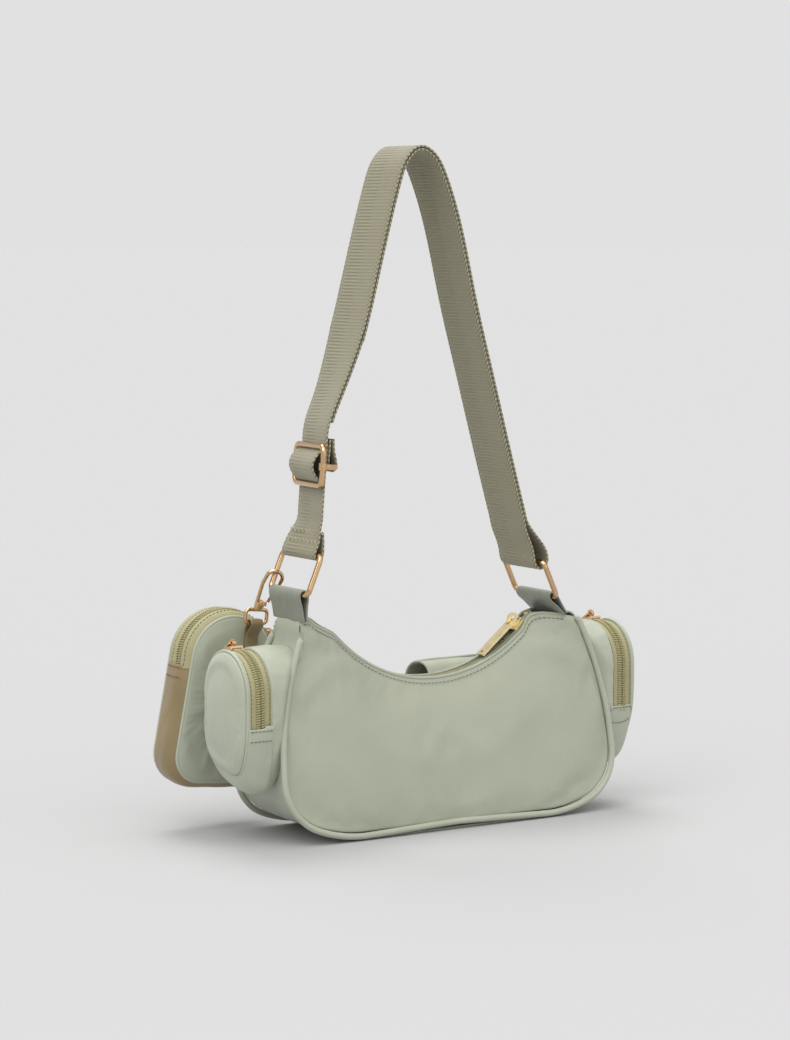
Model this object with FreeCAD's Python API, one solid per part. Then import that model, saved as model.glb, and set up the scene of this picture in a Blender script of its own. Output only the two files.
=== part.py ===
"""Crossbody purse: a crescent nylon bag with zipped side pockets, a hanging zip pouch and a webbing strap.

Millimetres.  X runs along the bag, +Y is the front (flap pocket side), -Y the plain back, +Z up.
The origin is the middle of the bag's base, on the surface it stands on.
"""
import FreeCAD, Part
import math
import os

V = FreeCAD.Vector
X, Y, Z = V(1, 0, 0), V(0, 1, 0), V(0, 0, 1)

# ---- driving dimensions -------------------------------------------------
BAG_HALF_LENGTH = 120.0
SEAM_BASE_Z = 5.0              # bottom of the panel seams
BASE_HALF_DEPTH = 34.0         # panel seams at the base
LEAN = math.radians(8.5)       # each panel leans in
CORNER_R, CORNER_Z = 31.0, 39.85
SIDE_R, SIDE_ANGLE = 202.0, math.radians(24.0)
EAR_TOP = {-1: 137.0, 1: 128.5}   # the strap pulls the left ear up
MOUTH_Z, MOUTH_R, MOUTH_HALF = 192.0, 100.0, 77.0
MOUTH_EDGE_Y = 6.5             # panel edge beside the zip
FABRIC = 1.5                   # padded nylon panel
LINING = 0.4
PIPING_R = 2.2
SEW = 0.15                     # gap between sewn neighbours
BOARD_LENGTH, BOARD_DEPTH, BOARD_T, BOARD_CORNER = 108.0, 56.0, 1.5, 8.0

SLIP_HALF_WIDTH, SLIP_BASE_Z, SLIP_TOP_Z = 52.0, 24.0, 74.0

STRAP_WIDTH, STRAP_T = 40.0, 1.3
LAYER_PITCH = 1.9              # doubled webbing, centre to centre
RING_R, RING_HALF_WIDTH, RING_CORNER = 1.8, 23.0, 4.0
LEFT_RING = (V(-102, 0, 152), V(-92, 0, 176))       # bottom bar, top bar
RIGHT_RING = (V(83, 0, 139.5), V(72.5, 0, 162.5))
TAB_T, TAB_WIDTH = 1.4, 38.0
TAB_BASE = {-1: V(-101, 0, 138.2), 1: V(91.5, 0, 129.6)}
RUN_CLEAR = 0.35               # fabric loop round a wire

POCKET_R, POCKET_TOP_Z = 25.5, 93.0
POCKET_BASE_Z = 28.0
POCKET_FACE_X = {-1: 147.0, 1: 143.0}
POCKET_PATCH_Z = {-1: 75.0, 1: 66.0}
POCKET_BULGE = 6.5             # how far the padded end stands out
POCKET_CROWN = 9.5             # width of its sloping rim
POCKET_CORNER = 13.0
POCKET_SLOT = 17.0             # zip tape and stitching let into the pocket's wall
ZIP_SETBACK = 10.4             # pocket face to middle of its zip
PATCH_DEPTH = 10.0             # binding below each end of the zip

POUCH_CENTRE = V(-117.5, 57, 106)     # centre of the pouch's dome
POUCH_R, POUCH_TAPER = 31.0, math.radians(6.0)
POUCH_DROP, POUCH_CORNER = 86.0, 20.0
POUCH_HALF_DEPTH = 13.0
POUCH_ROLL = 5.0
POUCH_LEATHER_TOP = 1.2

HOOK_TOP = V(-99.9, 23, 157.1)        # where the hook bears on the left ring, on the ring's axis
HOOK_DOWN = V(-6, 15, -24)            # its long axis
HOOK_LENGTH, HOOK_HALF_WIDTH, HOOK_WIRE = 25.0, 5.0, 1.2

FLAP_X = (4.0, 62.0)
FLAP_HINGE = V(33, 17.0, 98.0)
POCKET_DEPTH, POCKET_THICK = 56.0, 9.0

nodes = {}


# ---- small geometry helpers ---------------------------------------------
def polar(centre, radius, angle, u=X, v=Z):
    """Point on a circle; angle in radians from u towards v."""
    return centre + u * (radius * math.cos(angle)) + v * (radius * math.sin(angle))


def line(a, b):
    return Part.LineSegment(a, b).toShape()


def arc(centre, radius, start, end, u=X, v=Z):
    """Arc edge from start to end angle (degrees)."""
    a, b = math.radians(start), math.radians(end)
    points = [polar(centre, radius, t, u, v) for t in (a, (a + b) / 2, b)]
    return Part.Arc(*points).toShape()


def prism(edges, direction):
    return Part.Face(Part.Wire(edges)).extrude(direction)


def closed_polygon(points):
    return [line(a, b) for a, b in zip(points, points[1:] + points[:1])]


def spline(points, parameters=None):
    curve = Part.BSplineCurve()
    if parameters:
        curve.interpolate(Points=points, Parameters=parameters)
    else:
        curve.interpolate(points)
    return curve


def unit(vector):
    return V(vector).normalize()


def cylinder(radius, start, end):
    return Part.makeCylinder(radius, (end - start).Length, start, end - start)


def box(centre, sx, sy, sz):
    return Part.makeBox(sx, sy, sz, centre - V(sx / 2, sy / 2, sz / 2))


def mirrored(shape, normal):
    return shape.mirror(V(0, 0, 0), normal)


def sector(frame, radii, widths, angles):
    """Slice of a ring.  frame = (centre, up, along, across); angles in degrees from up towards along."""
    centre, up, along, across = frame
    a, b = angles
    base = centre + across * widths[0]
    (r0, r1) = radii
    start, end = math.radians(a), math.radians(b)
    edges = [arc(base, r0, a, b, up, along),
             line(polar(base, r0, end, up, along), polar(base, r1, end, up, along)),
             arc(base, r1, b, a, up, along),
             line(polar(base, r1, start, up, along), polar(base, r0, start, up, along))]
    return prism(edges, across * (widths[1] - widths[0]))


def chord_parameters(points):
    """Running length along a list of points, the parameters of every spline here."""
    values = [0.0]
    for a, b in zip(points, points[1:]):
        values.append(values[-1] + (b - a).Length)
    return values


def tangents(points):
    """Directions of a smooth curve at each of its points."""
    params = chord_parameters(points)
    curve = spline(points, params)
    return [unit(curve.getD1(t)[1]) for t in params]


def ribbon(path, thickness, across, extent, alongs=None):
    """Folded strip: its middle follows path, a curve in the plane square to across, and it runs along extent."""
    params = chord_parameters(path)
    sides = []
    for s in (-1, 1):
        points = [point + unit(along.cross(across)) * (s * thickness / 2)
                  for point, along in zip(path, alongs or tangents(path))]
        sides.append(spline(points, params).toShape())
    (a0, a1), (b0, b1) = [edge_ends(side) for side in sides]
    outline = Part.__sortEdges__(sides + [line(a0, b0), line(a1, b1)])
    return Part.Face(Part.Wire(outline)).translated(extent * -0.5).extrude(extent)


def twisted_ribbon(path, thickness, width, width_dirs, alongs):
    """Flat strip whose middle follows path, with its own width direction at each point."""
    params = chord_parameters(path)
    corners = {(s, w): [] for s in (-1, 1) for w in (-1, 1)}
    for point, along, across in zip(path, alongs, width_dirs):
        normal = unit(along.cross(across))
        for s, w in corners:
            corners[s, w].append(point + normal * (s * thickness / 2) + across * (w * width / 2))
    rails = {key: spline(points, params) for key, points in corners.items()}
    loop = [(-1, -1), (1, -1), (1, 1), (-1, 1)]
    faces = []
    for a, b in zip(loop, loop[1:] + loop[:1]):
        faces.append(Part.makeRuledSurface(rails[a].toShape(), rails[b].toShape(), 1))
    for i in (0, -1):
        faces.append(Part.Face(Part.Wire(closed_polygon([corners[key][i] for key in loop]))))
    shell = Part.makeShell(faces)
    shell.sewShape()
    solid = Part.makeSolid(shell)
    if solid.Volume < 0:
        solid.reverse()
    return solid


def webbing_run(path, thickness, width, width_dirs):
    """Long strip in one piece: straight extrusions where it lies square to Y, ruled sides where it twists."""
    alongs = tangents(path)
    turned = [abs(across.x) > 1e-9 for across in width_dirs]
    twisting = [a or b for a, b in zip(turned, turned[1:])]
    starts = [0]
    for i in range(1, len(twisting)):
        if twisting[i] != twisting[i - 1] or i - starts[-1] == RUN_SPANS:
            starts.append(i)
    starts.append(len(twisting))
    runs = []
    for first, last in zip(starts, starts[1:]):
        part = slice(first, last + 1)
        if twisting[first]:
            runs.append(twisted_ribbon(path[part], thickness, width, width_dirs[part], alongs[part]))
        else:
            runs.append(ribbon(path[part], thickness, Y, Y * width, alongs[part]))
    return runs[0].multiFuse(runs[1:])


def tube(edges, radius):
    """Round wire along tangent lines and arcs."""
    path = Part.Wire(edges)
    first = path.OrderedEdges[0]
    start = first.valueAt(first.FirstParameter)
    along = first.tangentAt(first.FirstParameter)
    if (path.OrderedVertexes[0].Point - start).Length > 1e-6:
        start, along = first.valueAt(first.LastParameter), first.tangentAt(first.LastParameter) * -1
    profile = Part.Wire(Part.Circle(start, along, radius).toShape())
    return path.makePipeShell([profile], True, True)


def rounded_ring(centre, across, up, half_width, half_height, corner, wire_r):
    """Closed rounded-rectangle wire ring."""
    edges = []
    for quarter, (sx, sz) in enumerate(((1, 1), (-1, 1), (-1, -1), (1, -1))):
        mid = centre + across * (sx * (half_width - corner)) + up * (sz * (half_height - corner))
        edges.append(arc(mid, corner, 90 * quarter, 90 * quarter + 90, across, up))
    joined = []
    for a, b in zip(edges, edges[1:] + edges[:1]):
        joined += [a, line(a.valueAt(a.LastParameter), b.valueAt(b.FirstParameter))]
    return tube(joined, wire_r)


# ---- bag outline ----------------------------------------------------------
def side_chain(base_z, start_angle, inset=0.0):
    """Right half of the bag's outline, bottom centre to ear, as edges in the XZ plane."""
    corner = V(BAG_HALF_LENGTH - CORNER_R, 0, CORNER_Z)
    side = V(BAG_HALF_LENGTH - SIDE_R, 0, CORNER_Z)
    angle = math.radians(start_angle)
    base_r = (CORNER_Z - CORNER_R * math.cos(angle) - base_z) / (1 - math.cos(angle))
    base = polar(corner, CORNER_R - base_r, angle - math.pi / 2)
    edges = [arc(base, base_r - inset, -90, start_angle - 90),
             arc(corner, CORNER_R - inset, start_angle - 90, 0),
             arc(side, SIDE_R - inset, 0, math.degrees(SIDE_ANGLE))]
    return edges


def edge_ends(edge):
    return edge.valueAt(edge.FirstParameter), edge.valueAt(edge.LastParameter)


def u_chain(base_z, start_angle, inset=0.0):
    """The whole outline below the ears, left ear to right ear."""
    right = side_chain(base_z, start_angle, inset)
    left = []
    for edge in reversed(right):
        a, b = edge_ends(edge)
        mid = edge.valueAt((edge.FirstParameter + edge.LastParameter) / 2)
        left.append(Part.Arc(*[V(-p.x, 0, p.z) for p in (b, mid, a)]).toShape())
    base = line(edge_ends(left[-1])[1], edge_ends(right[0])[0])
    return left + [base] + right


SEAM = (SEAM_BASE_Z, 20.8)
SOLE_TRIM = 0.02               # shaved off the gusset's base, which leaves it truly flat
BELLY = (-SOLE_TRIM, 30.0)     # the gusset bulges down to the surface it stands on


def panel_outline(inset=0.0, mouth_r=MOUTH_R):
    """Closed outline of a main panel, in the XZ plane."""
    chain = u_chain(*SEAM, inset)
    left_end, right_end = edge_ends(chain[0])[0], edge_ends(chain[-1])[1]
    half = math.degrees(math.asin(MOUTH_HALF / MOUTH_R))
    mouth = arc(V(0, 0, MOUTH_Z), mouth_r, -90 + half, -90 - half)
    mouth_right, mouth_left = edge_ends(mouth)
    top = []
    for side, end, lip in ((1, right_end, mouth_right), (-1, left_end, mouth_left)):
        ear = EAR_TOP[side] - inset
        corner = [V(side * (102.3 - inset), 0, ear - 3), V(side * 97, 0, ear)]
        points = [end] + corner + [lip]
        if side < 0:
            points.reverse()
        top.append([line(a, b) for a, b in zip(points, points[1:])])
    return chain + top[0] + [mouth] + top[1]


def seam_y(z, inset=0.0):
    """Half depth of the bag at a height, on the leaning seam plane."""
    return BASE_HALF_DEPTH - inset - (z - SEAM_BASE_Z) * math.tan(LEAN)


def smooth(t):
    t = min(max(t, 0.0), 1.0)
    return t * t * (3 - 2 * t)


def panel_y(x, z, depth=0.0):
    """Half depth of a main panel's outer face: flat at its seams, drawn in to the zip at the mouth."""
    lip_x = min(abs(x), MOUTH_HALF)
    lip_z = MOUTH_Z - math.sqrt(MOUTH_R ** 2 - lip_x ** 2)
    pull = (seam_y(lip_z) - MOUTH_EDGE_Y) * (1 - smooth((abs(x) - MOUTH_HALF) / 16.0))
    rise = min(max((z - lip_z + 52.0) / 52.0, 0.0), 1.1)
    return seam_y(z) - pull * rise ** 2 - depth


def panel_sheet(depth, thickness, outline):
    """Sheet following the back panel at a depth below its outer face, trimmed to an outline."""
    xs = [-126 + 12.6 * i for i in range(21)]
    zs = [-4 + 12.0 * i for i in range(13)]
    surface = Part.BSplineSurface()
    surface.interpolate([[V(x, -panel_y(x, z, depth), z) for z in zs] for x in xs])
    slab = surface.toShape().extrude(Y * thickness)
    return slab.common(prism(outline, Y * 60).translated(V(0, -60, 0)))


def leaning(edges, out=0.0):
    """Edges drawn in XZ, sheared onto the back seam plane; out moves them away from the bag."""
    matrix = FreeCAD.Matrix()
    matrix.A23 = math.tan(LEAN)
    matrix.A24 = -(BASE_HALF_DEPTH + out) - SEAM_BASE_Z * math.tan(LEAN)
    return [edge.transformGeometry(matrix) for edge in edges]


def wedge(edges, inset_y):
    """Solid between the two seam planes, with a closed XZ outline."""
    back = Part.Wire(Part.__sortEdges__(leaning(edges, -inset_y)))
    front = mirrored(back, Y)
    return Part.makeLoft([back, front], True, True)


def closed_u(shape_params, inset):
    chain = u_chain(*shape_params, inset)
    return chain + [line(edge_ends(chain[-1])[1], edge_ends(chain[0])[0])]


def u_shell(inset, thickness, inset_y):
    """Gusset-like strip: down one side, under the base and up the other."""
    outer = wedge(closed_u(BELLY, inset), inset_y)
    inner = wedge(closed_u(BELLY, inset + thickness), inset_y - 5)
    top = box(V(0, 0, 150), 2 * (101.0 - inset - thickness), 100, 100)
    return outer.cut(inner).cut(top)


def ear_cap(side):
    """Top of the gusset, folded up over the ear between the two panels."""
    ear = EAR_TOP[side]
    outer = [V(side * 102.5, 0, 121.6), V(side * 102.3, 0, ear - 3), V(side * 97, 0, ear),
             V(side * 93.5, 0, ear - (1.6 if side < 0 else 0.2))]
    inner = [p + V(-side * 1.3, 0, -1.4) for p in reversed(outer)]
    inner[-1] = V(side * 101.2, 0, 121.6)
    band = prism(closed_polygon(outer + inner), Y * 60).translated(V(0, -30, 0))
    block = [V(-130, 0, 100), V(130, 0, 100), V(130, 0, 150), V(-130, 0, 150)]
    return band.common(wedge(closed_polygon(block), FABRIC + SEW))


# ---- bag body ---------------------------------------------------------------
def make_bag_body():
    back = panel_sheet(0.0, FABRIC, panel_outline())
    nodes["back_panel"] = back
    nodes["front_panel"] = mirrored(back, Y)
    gusset = u_shell(0.0, FABRIC, FABRIC + SEW)
    for side in (-1, 1):
        gusset = gusset.fuse(ear_cap(side))
    nodes["gusset"] = gusset.removeSplitter().cut(box(V(0, 0, -5), 300, 100, 10))

    nodes["back_piping"] = piping_tube(PIPING_R)
    nodes["front_piping"] = mirrored(piping_tube(PIPING_R), Y)


def piping_tube(radius):
    """Round cord seam bead just outside the back panel's seam."""
    path = u_chain(*SEAM, -(PIPING_R + 0.05))
    lean = FreeCAD.Placement(V(0, -BASE_HALF_DEPTH - 1.2, SEAM_BASE_Z),
                             FreeCAD.Rotation(X, -math.degrees(LEAN))).toMatrix()
    down = FreeCAD.Placement(V(0, 0, -SEAM_BASE_Z), FreeCAD.Rotation()).toMatrix()
    return tube([e.transformed(lean * down) for e in path], radius)


def make_bag_inside():
    depth = FABRIC + SEW
    sheet = panel_sheet(depth, LINING, panel_outline(FABRIC + 1.0, MOUTH_R + 5.0))
    strip = u_shell(FABRIC + SEW, LINING, depth + LINING + SEW)
    nodes["lining"] = Part.makeCompound([sheet, mirrored(sheet, Y), strip])

    board_z = FABRIC + SEW + LINING + SEW
    board = box(V(0, 0, board_z + BOARD_T / 2), BOARD_LENGTH, BOARD_DEPTH, BOARD_T)
    upright = [e for e in board.Edges if abs(e.tangentAt(0).z) > 0.9]
    nodes["base_board"] = board.makeFillet(BOARD_CORNER, upright)

    half, low, high = SLIP_HALF_WIDTH, SLIP_BASE_Z, SLIP_TOP_Z
    pocket = closed_polygon([V(-half, 0, low), V(half, 0, low), V(half, 0, high), V(-half, 0, high)])
    slip = panel_sheet(depth + LINING + SEW, 0.6, pocket)
    nodes["slip_pocket"] = mirrored(slip, Y)


# ---- zips -------------------------------------------------------------------
TAPE_EDGE, COIL_OUT, COIL_H, WEB = 0.65, 2.9, 1.6, 0.3


def zip_layers(radius, outward, tape_half=4.8):
    """Radial spans of an arched zip; outward is +1 when the coil faces away from the centre."""
    def span(a, b):
        return tuple(sorted((radius + outward * a, radius + outward * b)))
    return {"tape": span(-0.7, -0.05), "coil": span(0, COIL_H), "top": span(2.0, 3.3),
            "bottom": span(-2.4, -1.2), "web": span(-1.2, 2.0), "flange": span(0.35, 2.0),
            "tape_half": tape_half}


def coil_halves(frame, layers, angles):
    return [sector(frame, layers["coil"], sorted((s * TAPE_EDGE, s * COIL_OUT)), angles) for s in (-1, 1)]


def tape_halves(frame, layers, angles):
    return [sector(frame, layers["tape"], sorted((s * TAPE_EDGE, s * layers["tape_half"])), angles)
            for s in (-1, 1)]


def slider_body(frame, layers, angle, length, half_width, outward, lug_r):
    """Zip slider centred at an angle, with an upright lug for its pull.  Returns solid and lug centre."""
    centre, up, along, across = frame
    middle = sum(layers["coil"]) / 2
    half = math.degrees(length / 2 / middle)
    span = (angle - half, angle + half)
    inner_half = half_width - 0.95
    plates = [sector(frame, layers["top"], (-half_width, half_width), span),
              sector(frame, layers["bottom"], (-half_width + 0.2, half_width - 0.2), span),
              sector(frame, layers["web"], (-WEB, WEB), (angle - half * 0.5, angle + half * 0.5))]
    for s in (-1, 1):
        plates.append(sector(frame, layers["flange"], sorted((s * inner_half, s * half_width)), span))
    radial = polar(V(0, 0, 0), outward, math.radians(angle), up, along)
    face = layers["top"][1] if outward > 0 else layers["top"][0]
    lug = polar(centre, face, math.radians(angle), up, along) + radial * (lug_r * 0.82)
    ring = Part.makeCylinder(lug_r, 1.6, lug - across * 0.8, across)
    hole = Part.makeCylinder(lug_r * 0.5, 2.0, lug - across, across)
    body = plates[0].multiFuse(plates[1:]).fuse(ring.cut(hole))
    return body.removeSplitter(), lug


def pull_tab(pivot, direction, normal, across, length, half_width, thickness, bar_r, window):
    """Zip pull: a cross bar through the slider's lug, two arms and a bar-shaped grip."""
    def slab(u0, u1, w0, w1, t):
        base = pivot + direction * u0 + across * w0 - normal * (t / 2)
        points = [base, base + direction * (u1 - u0), base + direction * (u1 - u0) + across * (w1 - w0),
                  base + across * (w1 - w0)]
        return prism(closed_polygon(points), normal * t)
    bar = cylinder(bar_r, pivot - across * (half_width - 0.2), pivot + across * (half_width - 0.2))
    parts = [bar, slab(window, length, -half_width, half_width, thickness)]
    for s in (-1, 1):
        w0, w1 = sorted((s * 1.25, s * half_width))
        parts.append(slab(-0.4, window + 0.2, w0, w1, min(thickness, 2 * bar_r)))
    pull = parts[0].multiFuse(parts[1:])
    hole = cylinder(0.9, pivot + direction * (length - 2.6) - normal * 3,
                    pivot + direction * (length - 2.6) + normal * 3)
    return pull.cut(hole).removeSplitter()


MAIN_SLIDER_ANGLE, MAIN_SLIDER_LENGTH = 43.5, 10.5
MAIN_PULL_TIP, MAIN_PULL_LENGTH = V(40.0, 0, 103.4), 33.0


def make_main_zip():
    frame = (V(0, 0, MOUTH_Z), -Z, X, Y)
    layers = zip_layers(MOUTH_R + 0.6, -1)
    back_tape, front_tape = tape_halves(frame, layers, (-50, 50))
    nodes["main_zip_tape_back"], nodes["main_zip_tape_front"] = back_tape, front_tape
    nodes["main_zip_coil"] = Part.makeCompound(coil_halves(frame, layers, (-48, 48)))
    stops = [sector(frame, layers["coil"], (-COIL_OUT, COIL_OUT), span) for span in ((-49.6, -48.2), (48.2, 49.6))]
    nodes["main_zip_stops"] = Part.makeCompound(stops)
    slider, lug = slider_body(frame, layers, MAIN_SLIDER_ANGLE, MAIN_SLIDER_LENGTH, 4.45, -1, 4.4)
    nodes["main_slider"] = slider
    direction = unit(MAIN_PULL_TIP - lug)
    nodes["main_pull"] = pull_tab(lug, direction, direction.cross(Y), Y, MAIN_PULL_LENGTH, 3.7, 1.5, 0.75, 6.2)


# ---- side pockets -------------------------------------------------------------
def pocket_outline(inset=0.0):
    """D outline of a side pocket in the YZ plane: arched top, rounded bottom corners."""
    arch = V(0, 0, POCKET_TOP_Z)
    corner_r, half, low = POCKET_CORNER, POCKET_R, POCKET_BASE_Z
    left = V(0, -half + corner_r, low + corner_r)
    right = V(0, half - corner_r, low + corner_r)
    edges = [arc(arch, half - inset, 0, 180, Y, Z),
             line(V(0, -half + inset, POCKET_TOP_Z), V(0, -half + inset, low + corner_r)),
             arc(left, corner_r - inset, 180, 270, Y, Z),
             line(V(0, -half + corner_r, low + inset), V(0, half - corner_r, low + inset)),
             arc(right, corner_r - inset, 270, 360, Y, Z),
             line(V(0, half - inset, low + corner_r), V(0, half - inset, POCKET_TOP_Z))]
    return edges


def pocket_prism(inset, x0, x1):
    return prism([e.translated(V(x0, 0, 0)) for e in pocket_outline(inset)], V(x1 - x0, 0, 0))


def make_side_pocket(side, name, slider_angle):
    """Built on the right (+X) and mirrored for the left."""
    face_x = POCKET_FACE_X[side]
    zip_x = face_x - ZIP_SETBACK
    patch_z = POCKET_PATCH_Z[side]
    frame = (V(zip_x, 0, POCKET_TOP_Z), Z, Y, X)
    layers = zip_layers(POCKET_R - 0.4, 1, 8.0)
    bag = prism(closed_u(BELLY, -SEW), Y * 120).translated(V(0, -60, 0))
    room = piping_tube(PIPING_R + 0.3)
    bag = bag.fuse([room, mirrored(room, Y)])

    ring = pocket_prism(0, 95, face_x).cut(pocket_prism(FABRIC, 90, face_x + 5)).cut(bag)
    slot = box(V(zip_x, 0, patch_z + 50), POCKET_SLOT, 80, 100)
    ends = box(V(zip_x, 0, patch_z - PATCH_DEPTH / 2), POCKET_SLOT, 80, PATCH_DEPTH)
    nodes[name + "_pocket_band"] = ring.cut(slot).cut(ends)
    nodes[name + "_pocket_patch"] = ring.common(ends)

    face = pocket_prism(0.6, face_x + 0.1, face_x + 1.6)
    outline = pocket_outline(POCKET_CROWN)
    inner = Part.Wire([e.translated(V(face_x + POCKET_BULGE, 0, 0)) for e in outline])
    outer = Part.Wire([e.translated(V(face_x + 1.6, 0, 0)) for e in pocket_outline(0.6)])
    nodes[name + "_pocket_face"] = face.fuse(Part.makeLoft([outer, inner], True, True)).removeSplitter()

    tapes, coils = tape_halves(frame, layers, (-90, 90)), coil_halves(frame, layers, (-90, 90))
    leg = POCKET_TOP_Z - patch_z - 0.2
    for group, key, inner_w, outer_w in ((tapes, "tape", TAPE_EDGE, 8.0), (coils, "coil", TAPE_EDGE, COIL_OUT)):
        r0, r1 = layers[key]
        for index, s in enumerate((-1, 1)):
            x0 = zip_x + (inner_w if s > 0 else -outer_w)
            legs = [Part.makeBox(outer_w - inner_w, r1 - r0, leg, V(x0, y, POCKET_TOP_Z - leg))
                    for y in (r0, -r1)]
            group[index] = group[index].multiFuse(legs).removeSplitter()
    nodes[name + "_pocket_zip_tape"] = Part.makeCompound(tapes)
    nodes[name + "_pocket_coil"] = Part.makeCompound(coils)
    slider, lug = slider_body(frame, layers, slider_angle, 8.5, 4.2, 1, 2.6)
    nodes[name + "_pocket_slider"] = slider
    down = polar(V(0, 0, 0), 1, math.radians(slider_angle + 104), Z, Y)
    nodes[name + "_pocket_pull"] = pull_tab(lug, down, down.cross(X), X, 20.0, 2.6, 1.2, 0.55, 3.6)
    if side < 0:
        for key in [k for k in nodes if k.startswith(name + "_pocket")]:
            nodes[key] = mirrored(nodes[key], X)


# ---- front flap pocket ------------------------------------------------------------
def make_front_pocket():
    """Small magnetic flap pocket on the front panel: a shallow pouch, a flap and a snap."""
    x0, x1 = FLAP_X
    down = V(0, math.sin(LEAN), -math.cos(LEAN))          # down the leaning panel
    out = V(0, math.cos(LEAN), math.sin(LEAN))
    top = V(0, seam_y(86) + 0.4, 86)

    def block(a, b, u0, u1, v0, v1):
        base = V(a, 0, 0) + top + down * u0 + out * v0
        corners = [base, base + down * (u1 - u0), base + down * (u1 - u0) + out * (v1 - v0), base + out * (v1 - v0)]
        return prism(closed_polygon(corners), V(b - a, 0, 0))

    wall = 1.2
    shell = block(x0 + 2, x1 - 2, 0, POCKET_DEPTH, 0, POCKET_THICK)
    hollow = block(x0 + 2 + wall, x1 - 2 - wall, -1, POCKET_DEPTH - wall, wall, POCKET_THICK - wall)
    nodes["front_pocket"] = shell.cut(hollow)

    mid_x = (x0 + x1) / 2
    front = [top + down * u + out * (POCKET_THICK + 3.3) for u in (6, 20, 34)]
    path = [FLAP_HINGE + V(0, 1.0, 0.4), FLAP_HINGE + V(0, 7.5, -0.6), FLAP_HINGE + V(0, 14.0, -5.0)] + front
    path = [V(mid_x, p.y, p.z) for p in path]
    nodes["front_flap"] = ribbon(path, 1.6, X, X * (x1 - x0))
    root = [V(0, 2, 90), V(0, FLAP_HINGE.y, FLAP_HINGE.z - 1.2), V(0, FLAP_HINGE.y, FLAP_HINGE.z + 0.6),
            V(0, 10, 97), V(0, 2, 93)]
    strip = prism([e.translated(V(x0, 0, 0)) for e in closed_polygon(root)], V(x1 - x0, 0, 0))
    inside = mirrored(panel_sheet(-SEW, 60.0, closed_polygon([V(-110, 0, 40), V(110, 0, 40), V(110, 0, 135),
                                                              V(-110, 0, 135)])), Y)
    nodes["flap_root"] = strip.cut(inside)

    mid = V(mid_x, 0, 0) + top + down * 24
    nodes["snap_socket"] = cylinder(7.0, mid + out * (POCKET_THICK + 0.05), mid + out * (POCKET_THICK + 1.0))
    nodes["snap_cap"] = cylinder(7.0, mid + out * (POCKET_THICK + 1.4), mid + out * (POCKET_THICK + 2.1))


# ---- tabs, rings, strap ---------------------------------------------------------------
def fold_round(bar, up, reach, radius, half_gap, across=Y):
    """Points of a strip folded round a bar: up one side, round, and down along the other leg."""
    side = unit(up.cross(across))
    half_turn = [polar(bar, radius, math.radians(a), side, up) for a in (180, 216, 252, 288, 324, 360)]
    head = bar + up * reach - side * half_gap
    tail = bar + up * reach + side * half_gap
    mid_gap = (radius + half_gap) / 2
    return ([head, bar + up * (reach * 0.45) - side * mid_gap] + half_turn +
            [bar + up * (reach * 0.45) + side * mid_gap, tail])


def make_ring(name, bottom, top):
    up = unit(top - bottom)
    nodes[name] = rounded_ring((bottom + top) / 2, Y, up, RING_HALF_WIDTH, (top - bottom).Length / 2,
                               RING_CORNER, RING_R)


def make_tab(side, name, bar):
    down = TAB_BASE[side] - bar
    path = fold_round(bar, unit(down), down.Length, RING_R + RUN_CLEAR + TAB_T / 2, TAB_T / 2 + 0.45)
    nodes[name] = ribbon(path, TAB_T, Y, Y * TAB_WIDTH)


# middle of the doubled strap, from above the left ring over the apex to above the right ring
STRAIGHT_LOW, STRAIGHT_HIGH = V(-86.6, 0, 197), V(-82.2, 0, 252)
INNER_END_Z = 256.0
RUN_SPANS = 10                 # points in one run of the strap's solid
ARCH_STEP = 12.0               # between points along the strap
TWIST = math.radians(8.7)      # the strap turns a little where the adjuster hangs
ARCH = [V(-75.5, 0, 270), V(-67.5, 0, 290), V(-59.5, 0, 314), V(-51, 0, 345), V(-42, 0, 379), V(-35, 0, 403),
        V(-27.5, 0, 419), V(-18, 0, 425), V(-8, 0, 420.5), V(0, 0, 408), V(11, 0, 377), V(22.5, 0, 330),
        V(34, 0, 288), V(45, 0, 248), V(54, 0, 216), V(61.5, 0, 190)]


def twist_at(point):
    """Width direction of the strap: turned where the adjuster sits, square elsewhere."""
    left = smooth((point.z - 182) / 14.0) * (1 - smooth((point.z - 262) / 60.0)) if point.x < -60 else 0.0
    return V(math.sin(TWIST * left), math.cos(TWIST * left), 0)


def offset_path(points, distance):
    return [p + unit(along.cross(Y)) * distance for p, along in zip(points, tangents(points))]


def refined(points, step):
    """The same smooth curve with points about step apart."""
    curve = spline(points, chord_parameters(points)).toShape()
    return curve.discretize(Number=round(curve.Length / step) + 1)


def make_strap():
    left_bar, right_bar = LEFT_RING[1], RIGHT_RING[1]
    wrap = RING_R + RUN_CLEAR + STRAP_T / 2
    up = unit(STRAIGHT_LOW - left_bar)
    fold = fold_round(left_bar, up, 13.0, wrap, STRAP_T / 2 + 0.45)
    straight = [STRAIGHT_LOW + (STRAIGHT_HIGH - STRAIGHT_LOW) * t for t in (0, 0.25, 0.5, 0.75, 1)]
    outer = refined(straight + ARCH, ARCH_STEP)
    inner = offset_path([p for p in outer if p.z > INNER_END_Z or p.x > 0], -LAYER_PITCH)
    loop = [right_bar + V(-7.2, 0, 21.5), right_bar + V(0.2, 0, 13.0), right_bar + V(4.9, 0, 5.0),
            right_bar + V(4.5, 0, -1.8), right_bar + V(0.0, 0, -4.4), right_bar + V(-3.8, 0, -1.6),
            right_bar + V(-5.2, 0, 4.0), right_bar + V(-7.8, 0, 12.5), right_bar + V(-11.2, 0, 20.5)]
    path = fold + outer + loop + list(reversed(inner))
    nodes["strap_webbing"] = webbing_run(path, STRAP_T, STRAP_WIDTH, [twist_at(p) for p in path])
    print("strap webbing length", round(spline(path).length(), 1))


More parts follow.
